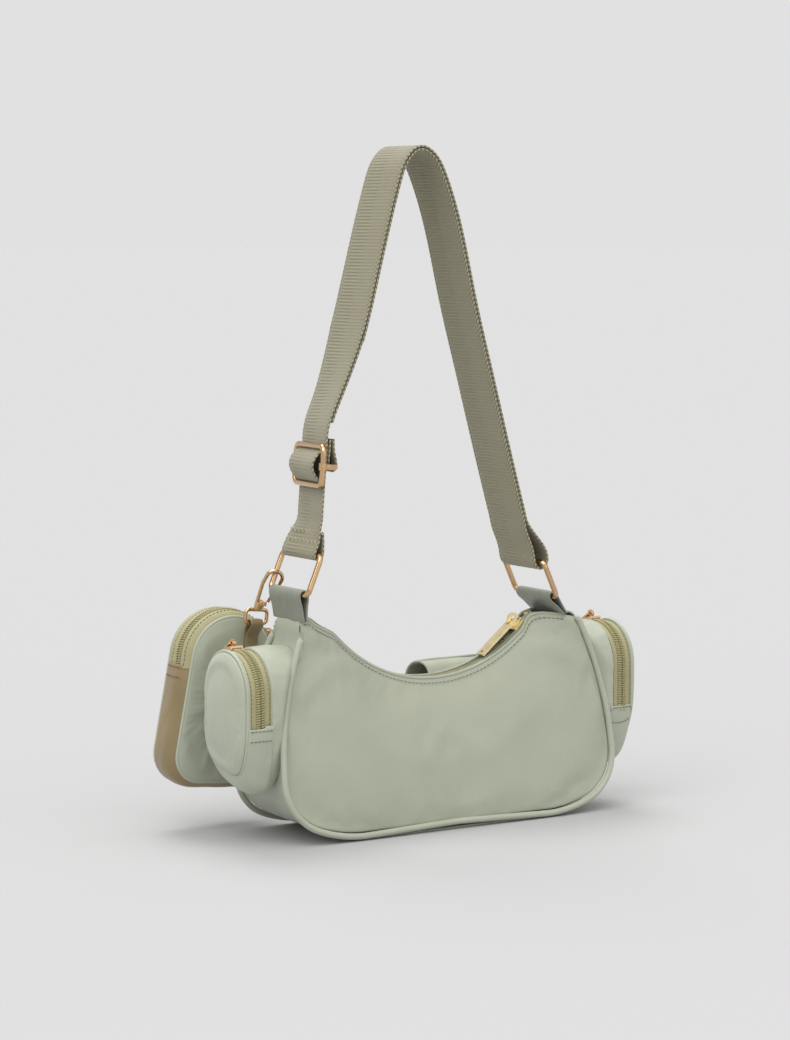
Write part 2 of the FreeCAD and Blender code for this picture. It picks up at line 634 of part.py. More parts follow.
def make_adjuster():
    up = unit(STRAIGHT_HIGH - STRAIGHT_LOW)
    across = V(math.sin(TWIST), math.cos(TWIST), 0)
    across = unit(across - up * across.dot(up))
    out = unit(across.cross(up)) * -1
    if out.x > 0:
        out = out * -1
    centre = STRAIGHT_LOW + up * 33.0
    wire = 1.75
    frame_v = STRAP_T / 2 + RUN_CLEAR + 0.2 + wire
    half_width, half_height = 22.3, 11.9
    gap = 0.9                  # between the strap and the folded end behind it
    nodes["adjuster_frame"] = rounded_ring(centre + out * frame_v, across, up, half_width, half_height, 4.0, wire)
    bar_r = 1.6
    bar_v = -(STRAP_T / 2 + gap + STRAP_T + 0.3 + bar_r)
    axis = centre + out * bar_v
    bar = cylinder(bar_r, axis - across * (half_width + 1.5), axis + across * (half_width + 1.5))
    eyes = []
    for s in (-1, 1):
        post = centre + out * frame_v + across * (s * half_width)
        eye = Part.makeCylinder(2.6, 4.4, post - up * 2.2, up)
        arm_base = axis + across * (s * half_width) - across * 1.45 - up * 1.6
        arm_len = frame_v - bar_v
        arm = prism(closed_polygon([arm_base, arm_base + across * 2.9, arm_base + across * 2.9 + up * 3.2,
                                    arm_base + up * 3.2]), out * arm_len)
        eyes.append(eye.fuse(arm).cut(Part.makeCylinder(wire + 0.3, 8, post - up * 4, up)))
    nodes["adjuster_bar"] = bar.multiFuse(eyes).removeSplitter()
    half_gap = STRAP_T / 2 + 0.45
    fold = fold_round(axis, up, 17.0, bar_r + 0.3 + STRAP_T / 2, half_gap, across)
    shift = out * (-(STRAP_T + gap + half_gap) - bar_v)
    path = [p + shift if i in (0, len(fold) - 1) else (p + shift * 0.55 if i in (1, len(fold) - 2) else p)
            for i, p in enumerate(fold)]
    nodes["strap_end_loop"] = ribbon(path, STRAP_T, across, across * 39.0)


# ---- snap hook and swivel ----------------------------------------------------------------
def make_hook():
    down = unit(HOOK_DOWN)
    post = unit(LEFT_RING[1] - LEFT_RING[0])
    normal = unit(post - down * post.dot(down))
    side = unit(down.cross(normal))
    apex = HOOK_TOP - down * ((RING_R + HOOK_WIRE + 0.65) / post.dot(normal))
    bow = apex + down * HOOK_HALF_WIDTH
    foot = apex + down * HOOK_LENGTH
    left = [line(foot - side * 2.2 + down * 0.5, bow + down * 6 - side * HOOK_HALF_WIDTH),
            line(bow + down * 6 - side * HOOK_HALF_WIDTH, bow - side * HOOK_HALF_WIDTH)]
    bend = arc(bow, HOOK_HALF_WIDTH, 180, 0, side, down * -1)
    nose = line(bow + side * HOOK_HALF_WIDTH, bow + side * HOOK_HALF_WIDTH + down * 1.6)
    hook = tube([left[1], bend, nose], HOOK_WIRE)
    leg = cylinder(HOOK_WIRE, left[0].valueAt(left[0].FirstParameter), left[0].valueAt(left[0].LastParameter))
    knee = Part.makeSphere(HOOK_WIRE, bow + down * 6 - side * HOOK_HALF_WIDTH)
    barrel = cylinder(3.1, foot - down * 1.0, foot + down * 2.6)
    lever_base = foot + side * 3.6 - down * 1.0
    clevis = cylinder(1.5, foot, lever_base)
    bore = cylinder(1.55, foot + down * 0.6, foot + down * 3.5)
    nodes["snap_hook"] = hook.multiFuse([leg, knee, barrel, clevis]).cut(bore).removeSplitter()
    pivot = lever_base
    tip = bow + side * HOOK_HALF_WIDTH + down * 2.2
    gate_start = pivot + unit(tip - pivot) * 1.95
    gate = cylinder(1.0, gate_start, tip)
    thumb = cylinder(1.25, gate_start + (tip - gate_start) * 0.35,
                     gate_start + (tip - gate_start) * 0.35 + side * 3.6 + down * 0.8)
    nodes["hook_gate"] = gate.fuse(thumb).removeSplitter()

    stem_top = foot + down * 0.9
    stem = cylinder(1.5, stem_top, foot + down * 4.2)
    collar = cylinder(2.6, foot + down * 2.9, foot + down * 4.4)
    top = foot + down * 5.0
    eye_down = unit(V(-0.10, 0.04, -1.0))
    half_bar = 7.6
    centre = top + eye_down * 4.3
    across = unit(X - eye_down * X.dot(eye_down))
    eye = rounded_ring(centre, across, eye_down, half_bar, 4.3, 2.6, 1.2)
    nodes["swivel_eye"] = stem.multiFuse([collar, eye]).removeSplitter()
    return centre + eye_down * 4.3, across


# ---- pouch -----------------------------------------------------------------------------
def pouch_outline(inset=0.0):
    """Outline of the pouch about its dome centre, in the XZ plane, widening downwards."""
    taper = math.degrees(POUCH_TAPER)
    radius = POUCH_R
    def side_point(length, s):
        start = polar(V(0, 0, 0), radius - inset, math.pi / 2 - s * (math.pi / 2 - POUCH_TAPER))
        return start + V(s * math.sin(POUCH_TAPER), 0, -math.cos(POUCH_TAPER)) * length
    length = POUCH_DROP - POUCH_CORNER - 4.0
    corner_r = POUCH_CORNER - inset
    right, left = side_point(length, 1), side_point(length, -1)
    right_c = right + V(-math.cos(POUCH_TAPER), 0, -math.sin(POUCH_TAPER)) * corner_r
    left_c = V(-right_c.x, 0, right_c.z)
    bottom_z = right_c.z - corner_r
    return [arc(V(0, 0, 0), radius - inset, taper, 180 - taper),
            line(side_point(0, -1), left),
            arc(left_c, corner_r, 180 - taper, 270),
            line(V(left_c.x, 0, bottom_z), V(right_c.x, 0, bottom_z)),
            arc(right_c, corner_r, 270, 360 + taper),
            line(right, side_point(0, 1))]


def pouch_slab(inset, y0, y1):
    return prism([e.translated(V(0, y0, 0)) for e in pouch_outline(inset)], V(0, y1 - y0, 0))


def make_pouch(eye_bar, bar_along):
    depth = POUCH_HALF_DEPTH
    seam = depth - FABRIC
    for name, sign in (("pouch_back_face", -1), ("pouch_front_face", 1)):
        y0, y1 = sorted((sign * seam, sign * depth))
        nodes[name] = pouch_slab(2.2, y0, y1)
    strip = seam - SEW
    ring = pouch_slab(0.0, -strip, strip).cut(pouch_slab(FABRIC, -depth - 2, depth + 2))
    below = box(V(0, 0, POUCH_LEATHER_TOP - 60), 120, 60, 120)
    nodes["pouch_leather"] = ring.common(below)
    frame = (V(0, 0, 0), Z, X, Y)
    layers = zip_layers(POUCH_R - 0.4, 1, strip)
    nodes["pouch_zip_tape"] = Part.makeCompound(tape_halves(frame, layers, (-87, 87)))
    nodes["pouch_coil"] = Part.makeCompound(coil_halves(frame, layers, (-87, 87)))
    slider, lug = slider_body(frame, layers, 62.0, 8.5, 4.2, 1, 2.6)
    nodes["pouch_slider"] = slider
    down = polar(V(0, 0, 0), 1, math.radians(62 + 104), Z, X)
    nodes["pouch_pull"] = pull_tab(lug, down, down.cross(Y), Y, 20.0, 2.6, 1.2, 0.55, 3.6)
    place = FreeCAD.Placement(POUCH_CENTRE, FreeCAD.Rotation(Y, POUCH_ROLL))
    for key in ("pouch_back_face", "pouch_front_face", "pouch_leather", "pouch_zip_tape", "pouch_coil",
                "pouch_slider", "pouch_pull"):
        nodes[key] = nodes[key].transformed(place.toMatrix())

    face_y = POUCH_CENTRE.y - depth - 0.4
    radius = 1.2 + RUN_CLEAR + 0.8
    x = eye_bar.x
    pad_low, pad_high = eye_bar.z - 17.0, eye_bar.z - 8.0
    path = [V(x, face_y - 0.8, pad_low), V(x, face_y - 0.8, pad_low + 5), V(x, face_y - 1.5, pad_high - 1.2)]
    path += [polar(eye_bar, radius, math.radians(a), Y, Z) for a in (26, 60, 94, 128, 162, 196, 226)]
    path += [V(x, face_y - 4.3, pad_high), V(x, face_y - 2.9, pad_low + 4.5), V(x, face_y - 2.9, pad_low)]
    nodes["pouch_loop"] = ribbon(path, 1.6, X, bar_along * 9.4)


def build():
    make_bag_body()
    make_bag_inside()
    make_main_zip()
    make_side_pocket(-1, "left", 17.0)
    make_side_pocket(1, "right", 17.0)
    make_front_pocket()
    make_ring("left_ring", *LEFT_RING)
    make_ring("right_ring", *RIGHT_RING)
    make_tab(-1, "left_tab", LEFT_RING[0])
    make_tab(1, "right_tab", RIGHT_RING[0])
    make_strap()
    make_adjuster()
    make_pouch(*make_hook())
    os.makedirs("parts", exist_ok=True)
    for name, shape in nodes.items():
        box_ = shape.optimalBoundingBox(False)
        print("%-24s valid=%s solids=%d vol=%9.1f x %.1f..%.1f y %.1f..%.1f z %.1f..%.1f" % (
            name, shape.isValid(), len(shape.Solids), shape.Volume, box_.XMin, box_.XMax,
            box_.YMin, box_.YMax, box_.ZMin, box_.ZMax))
        shape.exportStep("parts/%s.step" % name)


build()
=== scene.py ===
"""Looks of the crossbody purse: nylon shell, zips, webbing, leather pouch and metal fittings.

Lengths in the modelling code are millimetres; mesh_piece() turns them into metres.
"""
from math import copysign, cos, exp, pi, radians, sin, sqrt, tan

import bpy
import numpy as np
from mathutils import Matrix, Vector, noise


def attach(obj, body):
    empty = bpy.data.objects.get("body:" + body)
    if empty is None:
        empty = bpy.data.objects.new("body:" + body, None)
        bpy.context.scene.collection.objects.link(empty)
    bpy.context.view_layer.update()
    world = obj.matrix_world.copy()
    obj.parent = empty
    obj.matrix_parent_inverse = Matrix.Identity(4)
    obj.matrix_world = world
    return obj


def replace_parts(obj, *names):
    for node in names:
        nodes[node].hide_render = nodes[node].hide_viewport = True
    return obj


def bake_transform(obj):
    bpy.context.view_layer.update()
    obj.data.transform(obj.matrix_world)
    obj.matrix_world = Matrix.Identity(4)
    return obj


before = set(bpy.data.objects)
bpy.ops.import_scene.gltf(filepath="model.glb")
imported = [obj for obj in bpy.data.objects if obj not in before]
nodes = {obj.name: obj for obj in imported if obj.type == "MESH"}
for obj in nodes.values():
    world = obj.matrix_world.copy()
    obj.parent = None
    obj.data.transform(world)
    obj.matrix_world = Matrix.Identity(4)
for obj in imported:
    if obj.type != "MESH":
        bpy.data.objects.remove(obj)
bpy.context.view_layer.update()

MM = 0.001
X, Y, Z = np.eye(3)
scene = bpy.context.scene


def V(x, y, z):
    return np.array((x, y, z), float)


def unit(v):
    return v / np.linalg.norm(v)


def run_length(points):
    """Distance along a line at each of its points."""
    return np.concatenate([[0], np.cumsum(np.linalg.norm(np.diff(points, axis=0), axis=1))])


def clamp(t, high=1.0):
    return min(max(t, 0.0), high)


def smooth(t):
    t = clamp(t)
    return t * t * (3 - 2 * t)


def wrinkle(p, size, seed=0.0):
    """Smooth noise between about -1 and 1; size is the width of its waves in mm."""
    return noise.noise(Vector((p[0] / size + seed, p[1] / size, p[2] / size - seed)))


# ---- materials ----
class Graph:
    """A short way to write shader nodes."""

    def __init__(self, name):
        self.material = bpy.data.materials.new(name)
        self.material.use_nodes = True
        self.tree = self.material.node_tree
        self.shader = self.tree.nodes["Principled BSDF"]
        self.at = self.node("ShaderNodeTexCoord").outputs["Object"]

    def node(self, kind, inputs=(), **settings):
        made = self.tree.nodes.new(kind)
        for key, value in settings.items():
            setattr(made, key, value)
        for key, value in dict(inputs).items():
            if isinstance(value, bpy.types.NodeSocket):
                self.tree.links.new(value, made.inputs[key])
            else:
                made.inputs[key].default_value = value
        return made

    def uv(self):
        made = self.node("ShaderNodeSeparateXYZ", {0: self.node("ShaderNodeTexCoord").outputs["UV"]})
        return made.outputs[0], made.outputs[1]

    def math(self, operation, a, b=0.0, c=0.0):
        return self.node("ShaderNodeMath", {0: a, 1: b, 2: c}, operation=operation).outputs[0]

    def times(self, a, b):
        return self.math("MULTIPLY", a, b)

    def noise(self, scale, detail=3.0, roughness=0.5):
        made = self.node("ShaderNodeTexNoise", {"Vector": self.at, "Scale": scale, "Detail": detail,
                                                "Roughness": roughness})
        return made.outputs["Fac"]

    def remap(self, value, low, high, to_low, to_high):
        made = self.node("ShaderNodeMapRange", {"Value": value, "From Min": low, "From Max": high,
                                                "To Min": to_low, "To Max": to_high})
        return made.outputs[0]

    def mix(self, factor, a, b):
        made = self.node("ShaderNodeMix", data_type="RGBA")
        for socket, value in ((made.inputs[0], factor), (made.inputs[6], a), (made.inputs[7], b)):
            if isinstance(value, bpy.types.NodeSocket):
                self.tree.links.new(value, socket)
            else:
                socket.default_value = value
        return made.outputs[2]

    def tones(self, factor, colour, low, high):
        return self.mix(factor, shade(colour, low), shade(colour, high))

    def bump(self, height, strength, distance, normal=None):
        inputs = {"Height": height, "Strength": strength, "Distance": distance}
        if normal is not None:
            inputs["Normal"] = normal
        return self.node("ShaderNodeBump", inputs).outputs[0]

    def finish(self, colour, roughness, normal=None, **fixed):
        for key, value in (("Base Color", colour), ("Roughness", roughness), ("Normal", normal)):
            if value is not None:
                self.tree.links.new(value, self.shader.inputs[key])
        for key, value in fixed.items():
            self.shader.inputs[key.replace("_", " ")].default_value = value
        return self.material


def rgba(r, g, b):
    return (r, g, b, 1.0)


def shade(colour, factor):
    return tuple(c * factor for c in colour[:3]) + (1.0,)


def nylon(name, colour, sheen=0.25, rough=0.46, weave=0.00055):
    """Satin woven nylon: fine plain weave, soft puckers and a little colour drift."""
    g = Graph(name)
    u, v = g.uv()
    turn = 2 * pi / weave
    warp = g.math("SINE", g.times(u, turn))
    weft = g.math("SINE", g.times(v, turn))
    cloth = g.times(warp, weft)
    drift = g.noise(22.0, 2.0)
    fine = g.noise(900.0, 2.0)
    tone = g.tones(g.remap(drift, 0.3, 0.7, 0.0, 1.0), colour, 0.94, 1.05)
    tone = g.mix(g.remap(fine, 0.3, 0.7, 0.0, 0.35), tone, shade(colour, 0.88))
    pucker = g.noise(55.0, 3.0, 0.55)
    normal = g.bump(pucker, 0.35, 0.0016)
    normal = g.bump(cloth, 0.12, 0.00008, normal)
    return g.finish(tone, g.remap(pucker, 0.3, 0.7, rough - 0.05, rough + 0.07), normal,
                    Sheen_Weight=sheen, Sheen_Roughness=0.45, Specular_IOR_Level=0.42)


def webbing(name, colour, dark):
    """Ribbed webbing: cross ribs all over, a deeper ribbed band to one side and corded selvages, coloured
    with painted shade in the grooves and painted highlight on the crests.
    """
    g = Graph(name)
    u, v = g.uv()
    ribs = g.math("SINE", g.times(u, 2 * pi / 0.0021))
    fine = g.math("SINE", g.times(v, 2 * pi / 0.0016))
    band = g.times(g.math("GREATER_THAN", v, 0.0005), g.math("LESS_THAN", v, 0.0155))
    edge = g.math("GREATER_THAN", g.math("ABSOLUTE", v), 0.0178)
    slant = g.math("ADD", u, g.times(v, 1.3))
    cord = g.math("SINE", g.times(slant, 2 * pi / 0.0030))
    height = g.math("ADD", g.times(ribs, g.math("MULTIPLY_ADD", band, 0.7, 0.3)),
                    g.times(fine, 0.35))
    height = g.times(height, g.math("SUBTRACT", 1.0, edge))
    height = g.math("ADD", height, g.times(cord, edge))
    flecks = g.noise(700.0, 2.0)
    # painted shade in the rib valleys and painted highlight on the rib crests, following the relief height
    tone = g.tones(g.remap(height, -1.0, 1.0, 0.0, 1.0), colour, 0.82, 1.06)
    tone = g.mix(g.remap(flecks, 0.35, 0.7, 0.0, 0.3), tone, shade(colour, 1.25))
    # selvage cords: painted shade (the dark colour) in their grooves, painted highlight (1.4 times the
    # colour) on their crests
    corded = g.mix(g.remap(cord, -0.4, 0.5, 0.0, 1.0), dark, shade(colour, 1.4))
    tone = g.mix(edge, tone, corded)
    normal = g.bump(height, 0.55, 0.00035)
    return g.finish(tone, g.remap(flecks, 0.2, 0.8, 0.55, 0.75), normal,
                    Sheen_Weight=0.3, Sheen_Roughness=0.4, Specular_IOR_Level=0.35)


def leather(name, colour):
    g = Graph(name)
    cells = g.node("ShaderNodeTexVoronoi", {"Vector": g.at, "Scale": 1100.0}).outputs["Distance"]
    cloud = g.noise(35.0, 4.0)
    tone = g.tones(g.remap(cloud, 0.3, 0.7, 0.0, 1.0), colour, 0.84, 1.12)
    normal = g.bump(g.math("ADD", g.times(cells, 0.6), cloud), 0.35, 0.0003)
    return g.finish(tone, g.remap(cloud, 0.3, 0.7, 0.34, 0.46), normal, Specular_IOR_Level=0.45,
                    Sheen_Weight=0.05)


def metal(name, colour, rough, brushed=0.0):
    g = Graph(name)
    cloud = g.noise(240.0, 3.0)
    tone = g.tones(g.remap(cloud, 0.3, 0.7, 0.0, 1.0), colour, 0.93, 1.04)
    normal = g.bump(cloud, 0.06 + brushed, 0.0002)
    return g.finish(tone, g.remap(cloud, 0.3, 0.7, rough, rough + 0.07), normal, Metallic=1.0)


def speckled(name, colour, grain, tones, rough, height, **fixed):
    g = Graph(name)
    cloud = g.noise(*grain)
    return g.finish(g.tones(cloud, colour, *tones), g.remap(cloud, 0.3, 0.7, *rough),
                    g.bump(cloud, height, 0.0001), **fixed)


def thread(name, colour):
    return speckled(name, colour, (2500.0, 2.0), (0.8, 1.15), (0.45, 0.6), 0.3, Specular_IOR_Level=0.4)


def moulded(name, colour):
    return speckled(name, colour, (500.0, 3.0), (0.85, 1.1), (0.35, 0.5), 0.2)


SAGE = rgba(0.375, 0.395, 0.305)
LIGHT_SAGE = rgba(0.40, 0.425, 0.335)
M = {
    "shell": nylon("sage_nylon", SAGE),
    "gusset": nylon("light_sage_nylon", LIGHT_SAGE),
    # tab cloth: the gusset's sage darkened to 0.55, partly a darker cloth and partly painted shade
    "tab": nylon("shaded_sage_nylon", shade(LIGHT_SAGE, 0.55)),
    "lining": nylon("lining_cloth", rgba(0.22, 0.24, 0.18), 0.1, 0.6),
    "tape": nylon("olive_tape", rgba(0.36, 0.335, 0.18), 0.2, 0.6, 0.0012),
    "coil": moulded("olive_coil", rgba(0.37, 0.335, 0.165)),
    # the second colour is painted shade for the grooves of the selvage cords
    "webbing": webbing("sage_webbing", rgba(0.275, 0.255, 0.17), rgba(0.17, 0.155, 0.10)),
    "leather": leather("olive_leather", rgba(0.25, 0.185, 0.09)),
    # stitch thread set darker than the cloth it sews: painted shade of the stitch rows
    "dark_thread": thread("shaded_thread", rgba(0.15, 0.155, 0.105)),
    "web_thread": thread("webbing_thread", rgba(0.42, 0.39, 0.27)),
    "leather_thread": thread("leather_thread", rgba(0.12, 0.085, 0.045)),
    "gold": metal("rose_gold", rgba(0.64, 0.42, 0.235), 0.12),
    "bronze": metal("reddish_bronze", rgba(0.50, 0.24, 0.14), 0.22),
    "brass": metal("pale_brass", rgba(0.88, 0.74, 0.44), 0.24, 0.1),
    "steel": metal("plain_steel", rgba(0.55, 0.55, 0.55), 0.3),
    "board": moulded("stiffener_board", rgba(0.03, 0.03, 0.03)),
}
# material, body and slot
SHELL = M["shell"], "bag", "shell_nylon"
GUSSET = M["gusset"], "bag", "gusset_nylon"
LINING = M["lining"], "bag", "lining"


# ---- mesh helpers ----
def dress(node, kind):
    """Gives a CAD node its material."""
    nodes[node].data.materials.clear()
    nodes[node].data.materials.append(M[kind])


def mesh_piece(name, verts, faces, material, body, slot=None, uvs=None):
    """A smooth-shaded piece from points in mm, riding on a body.  uvs holds one (u, v) in mm per vertex."""
    mesh = bpy.data.meshes.new(name)
    mesh.from_pydata([tuple(float(c) * MM for c in v) for v in verts], [], [tuple(f) for f in faces])
    mesh.validate()
    if uvs is not None:
        layer = mesh.uv_layers.new(name="UVMap")
        for loop in mesh.loops:
            u, v = uvs[loop.vertex_index]
            layer.data[loop.index].uv = (u * MM, v * MM)
    for polygon in mesh.polygons:
        polygon.use_smooth = True
    mesh.materials.append(material)
    made = bpy.data.objects.new(name, mesh)
    scene.collection.objects.link(made)
    if body:
        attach(made, body)
    return made


def grid(rows, wrap_rows=False, wrap_columns=False, keep=None):
    """Vertices, faces and running-length uvs of a net of points: rows[i][j]."""
    rows = np.array(rows, float)
    n, m = rows.shape[:2]
    u = np.zeros((n, m))
    v = np.zeros((n, m))
    u[1:] = np.cumsum(np.linalg.norm(np.diff(rows, axis=0), axis=2), axis=0)
    v[:, 1:] = np.cumsum(np.linalg.norm(np.diff(rows, axis=1), axis=2), axis=1)
    v -= v[:, -1:] / 2
    faces = []
    for i in range(n if wrap_rows else n - 1):
        for j in range(m if wrap_columns else m - 1):
            a, b = (i + 1) % n, (j + 1) % m
            corners = (rows[i, j] + rows[a, j] + rows[a, b] + rows[i, b]) / 4
            if keep is None or keep(corners):
                faces.append((i * m + j, a * m + j, a * m + b, i * m + b))
    return rows.reshape(-1, 3), faces, np.stack([u, v], -1).reshape(-1, 2)


def soften(piece, levels):
    if levels:
        soft = piece.modifiers.new("soft", "SUBSURF")
        soft.levels = soft.render_levels = levels
    return piece


def thicken(piece, thickness, offset=-1.0, levels=1):
    """Gives a sheet its cloth thickness and rounds its cut edges."""
    solid = piece.modifiers.new("thickness", "SOLIDIFY")
    solid.thickness = thickness * MM
    solid.offset = offset
    return soften(piece, levels)


def sheet_piece(name, rows, material, body, slot=None, thickness=1.2, offset=-1.0, levels=1, **wraps):
    verts, faces, uvs = grid(rows, **wraps)
    return thicken(mesh_piece(name, verts, faces, material, body, slot, uvs), thickness, offset, levels)


def spline(points, per_span=8):
    """Smooth curve through points (natural cubic over chord length), evenly divided between them."""
    p = np.array(points, float)
    t = run_length(p)
    n = len(p)
    h = np.diff(t)
    a = np.eye(n)
    b = np.zeros((n, p.shape[1]))
    for i in range(1, n - 1):
        a[i, i - 1:i + 2] = h[i - 1], 2 * (h[i - 1] + h[i]), h[i]
        b[i] = 6 * ((p[i + 1] - p[i]) / h[i] - (p[i] - p[i - 1]) / h[i - 1])
    m = np.linalg.solve(a, b)
    found = []
    for i in range(n - 1):
        for k in range(per_span):
            s = h[i] * k / per_span
            slope = (p[i + 1] - p[i]) / h[i] - h[i] * (2 * m[i] + m[i + 1]) / 6
            found.append(p[i] + slope * s + m[i] * s * s / 2 + (m[i + 1] - m[i]) * s ** 3 / (6 * h[i]))
    found.append(p[-1])
    return np.array(found)


def resample(points, step):
    """The same line with points a step apart."""
    p = np.array(points, float)
    t = run_length(p)
    count = max(2, int(round(t[-1] / step)) + 1)
    s = np.linspace(0, t[-1], count)
    return np.stack([np.interp(s, t, p[:, k]) for k in range(p.shape[1])], -1)


def tangents(points, closed=False):
    p = np.array(points, float)
    d = np.roll(p, -1, 0) - np.roll(p, 1, 0) if closed else np.gradient(p, axis=0)
    return d / np.linalg.norm(d, axis=1)[:, None]


def sweep(points, profile, across, closed=False):
    """Rows of a profile [(out, width), ...] carried along a line; across gives the width direction."""
    rows = []
    for i, (p, along) in enumerate(zip(points, tangents(points, closed))):
        w = across[i] if np.ndim(across) == 2 else across
        out = unit(np.cross(along, w))
        w = unit(np.cross(out, along))
        rows.append([p + out * a + w * b for a, b in profile])
    return rows


def turns(count):
    return np.linspace(0, 2 * pi, count, endpoint=False)


def circle(radius, count):
    return [(radius * cos(a), radius * sin(a)) for a in turns(count)]


def capped(name, rows, material, body, slot=None, levels=0):
    """A swept closed profile with flat ends."""
    verts, faces, uvs = grid(rows, wrap_columns=True)
    n, m = len(rows), len(rows[0])
    faces += [tuple(range(m)), tuple((n - 1) * m + k for k in reversed(range(m)))]
    return soften(mesh_piece(name, verts, faces, material, body, slot, uvs), levels)


def tube(name, points, radius, material, body, slot=None, across=Y, closed=False, sides=10):
    rows = sweep(points, circle(radius, sides), across, closed)
    if closed:
        verts, faces, uvs = grid(rows, wrap_rows=True, wrap_columns=True)
        return mesh_piece(name, verts, faces, material, body, slot, uvs)
    return capped(name, rows, material, body, slot)


def capsules(name, spans, radius, material, body, slot, sides=6):
    """Many short rounded rods in one piece: stitches and zip coils.  spans holds (start, end, up)."""
    verts, faces = [], []
    for start, end, up in spans:
        along = end - start
        length = np.linalg.norm(along)
        along = along / length
        side = unit(np.cross(along, up))
        top = np.cross(side, along)
        base = len(verts)
        for t, scale in ((0.0, 0.45), (0.18, 0.95), (0.82, 0.95), (1.0, 0.45)):
            for a in turns(sides):
                ring = side * cos(a) + top * sin(a)
                verts.append(start + along * (t * length) + ring * radius * scale)
        for i in range(3):
            for j in range(sides):
                k = (j + 1) % sides
                faces.append((base + i * sides + j, base + i * sides + k,
                              base + (i + 1) * sides + k, base + (i + 1) * sides + j))
        faces.append(tuple(base + j for j in reversed(range(sides))))
        faces.append(tuple(base + 3 * sides + j for j in range(sides)))
    return mesh_piece(name, verts, faces, material, body, slot)


def stitch_row(points, normals, pitch, length, lift):
    """Spans of a row of stitches along a line, for capsules()."""
    both = resample(np.concatenate([np.array(points, float), np.array(normals, float)], axis=1), 0.5)
    line, outs = both[:, :3], both[:, 3:]
    run = run_length(line)

    def at(s, table):
        return V(*[np.interp(s, run, table[:, k]) for k in range(3)])

    spans = []
    for s in np.arange(pitch * 0.4, run[-1] - length, pitch):
        out = unit(at(s, outs))
        spans.append((at(s, line) + out * lift, at(s + length, line) + out * lift, out))
    return spans


def settle(piece, pinned, pressure, cap, frames=14, shrink=0.0, stiffness=12.0):
    """Cloth simulation kept in the mesh: pinned points hold, and no point moves further than cap."""
    group = piece.vertex_groups.new(name="pin")
    group.add([int(i) for i in pinned], 1.0, "REPLACE")
    cloth = piece.modifiers.new("cloth", "CLOTH")
    s = cloth.settings
    s.vertex_group_mass = "pin"
    s.quality = 6
    s.mass = 0.15
    s.tension_stiffness = s.compression_stiffness = stiffness
    s.shear_stiffness = stiffness / 2
    s.bending_stiffness = 0.6
    s.use_pressure = True
    s.uniform_pressure_force = pressure
    s.shrink_min = shrink
    s.effector_weights.gravity = 0.0
    cloth.point_cache.frame_start = 1
    cloth.point_cache.frame_end = frames
    for f in range(1, frames + 1):
        scene.frame_set(f)
    count = len(piece.data.vertices)
    rest = np.zeros(count * 3, np.float32)
    piece.data.vertices.foreach_get("co", rest)
    evaluated = piece.evaluated_get(bpy.context.evaluated_depsgraph_get())
    moved = np.zeros(count * 3, np.float32)
    evaluated.data.vertices.foreach_get("co", moved)
    rest, moved = rest.reshape(-1, 3), moved.reshape(-1, 3)
    piece.modifiers.remove(cloth)
    piece.vertex_groups.remove(group)
    scene.frame_set(1)
    step = moved - rest
    length = np.linalg.norm(step, axis=1)
    limit = cap * MM
    scale = np.where(length > 1e-9, limit * np.tanh(length / limit) / np.maximum(length, 1e-9), 0.0)
    piece.data.vertices.foreach_set("co", (rest + step * scale[:, None]).ravel())
    piece.data.update()
    return piece


# ---- bag: dimensions shared with the solid model ----
BASE_DEPTH, LEAN = 34.0, tan(radians(8.5))
SEAM, BELLY = (5.0, 20.8), (0.0, 30.0)
CORNER_R, CORNER_Z, SIDE_R = 31.0, 39.85, 202.0
MOUTH_Z, MOUTH_R = 192.0, 100.0
LEFT_TOP = [(-102.6, 124), (-102.4, 131), (-101, 135.6), (-98, 137), (-93, 133.6), (-87, 130.4), (-81, 127.8),
            (-76, 125.6)]
RIGHT_TOP = [(74, 126.2), (81, 127.9), (89, 127.4), (96, 126.2), (100.5, 124.4), (102.6, 122.6)]


def half_outline(kind, inset, step):
    """Right half of the bag's outline in XZ, bottom centre to ear."""
    base_z, turn = kind
    a = radians(turn)
    base_r = (CORNER_Z - CORNER_R * cos(a) - base_z) / (1 - cos(a))
    corner = np.array((120 - CORNER_R, CORNER_Z))
    base = corner + (CORNER_R - base_r) * np.array((sin(a), -cos(a)))
    side = np.array((120 - SIDE_R, CORNER_Z))
    points = [(0.0, base_z)]
    for centre, radius, start, end in ((base, base_r, -90, turn - 90), (corner, CORNER_R, turn - 90, 0),
                                       (side, SIDE_R, 0, 24)):
        for t in np.linspace(radians(start), radians(end), 14):
            points.append(tuple(centre + (radius - inset) * np.array((cos(t), sin(t)))))
    return resample(points, step)


def outline(kind, inset=0.0, step=2.0):
    right = half_outline(kind, inset, step)
    return np.concatenate([right[::-1] * (-1, 1), right[1:]])


def seam_y(z):
    return BASE_DEPTH - (z - SEAM[0]) * LEAN


def panel_y(x, z):
    """Half depth of a main panel: flat at its seams, drawn in to the zip at the mouth."""
    lip_x = min(abs(x), 77.0)
    lip_z = MOUTH_Z - sqrt(MOUTH_R ** 2 - lip_x ** 2)
    pull = (seam_y(lip_z) - 6.5) * (1 - smooth((abs(x) - 77.0) / 16.0))
    rise = clamp((z - lip_z + 52.0) / 52.0, 1.1)
    return seam_y(z) - pull * rise ** 2


def top_edge(step=2.0):
    """Upper edge of a main panel, left ear to right ear, in XZ."""
    arc = [(MOUTH_R * sin(t), MOUTH_Z - MOUTH_R * cos(t)) for t in np.linspace(-0.78, 0.745, 24)]
    return resample(spline(LEFT_TOP + arc + RIGHT_TOP, 4), step)


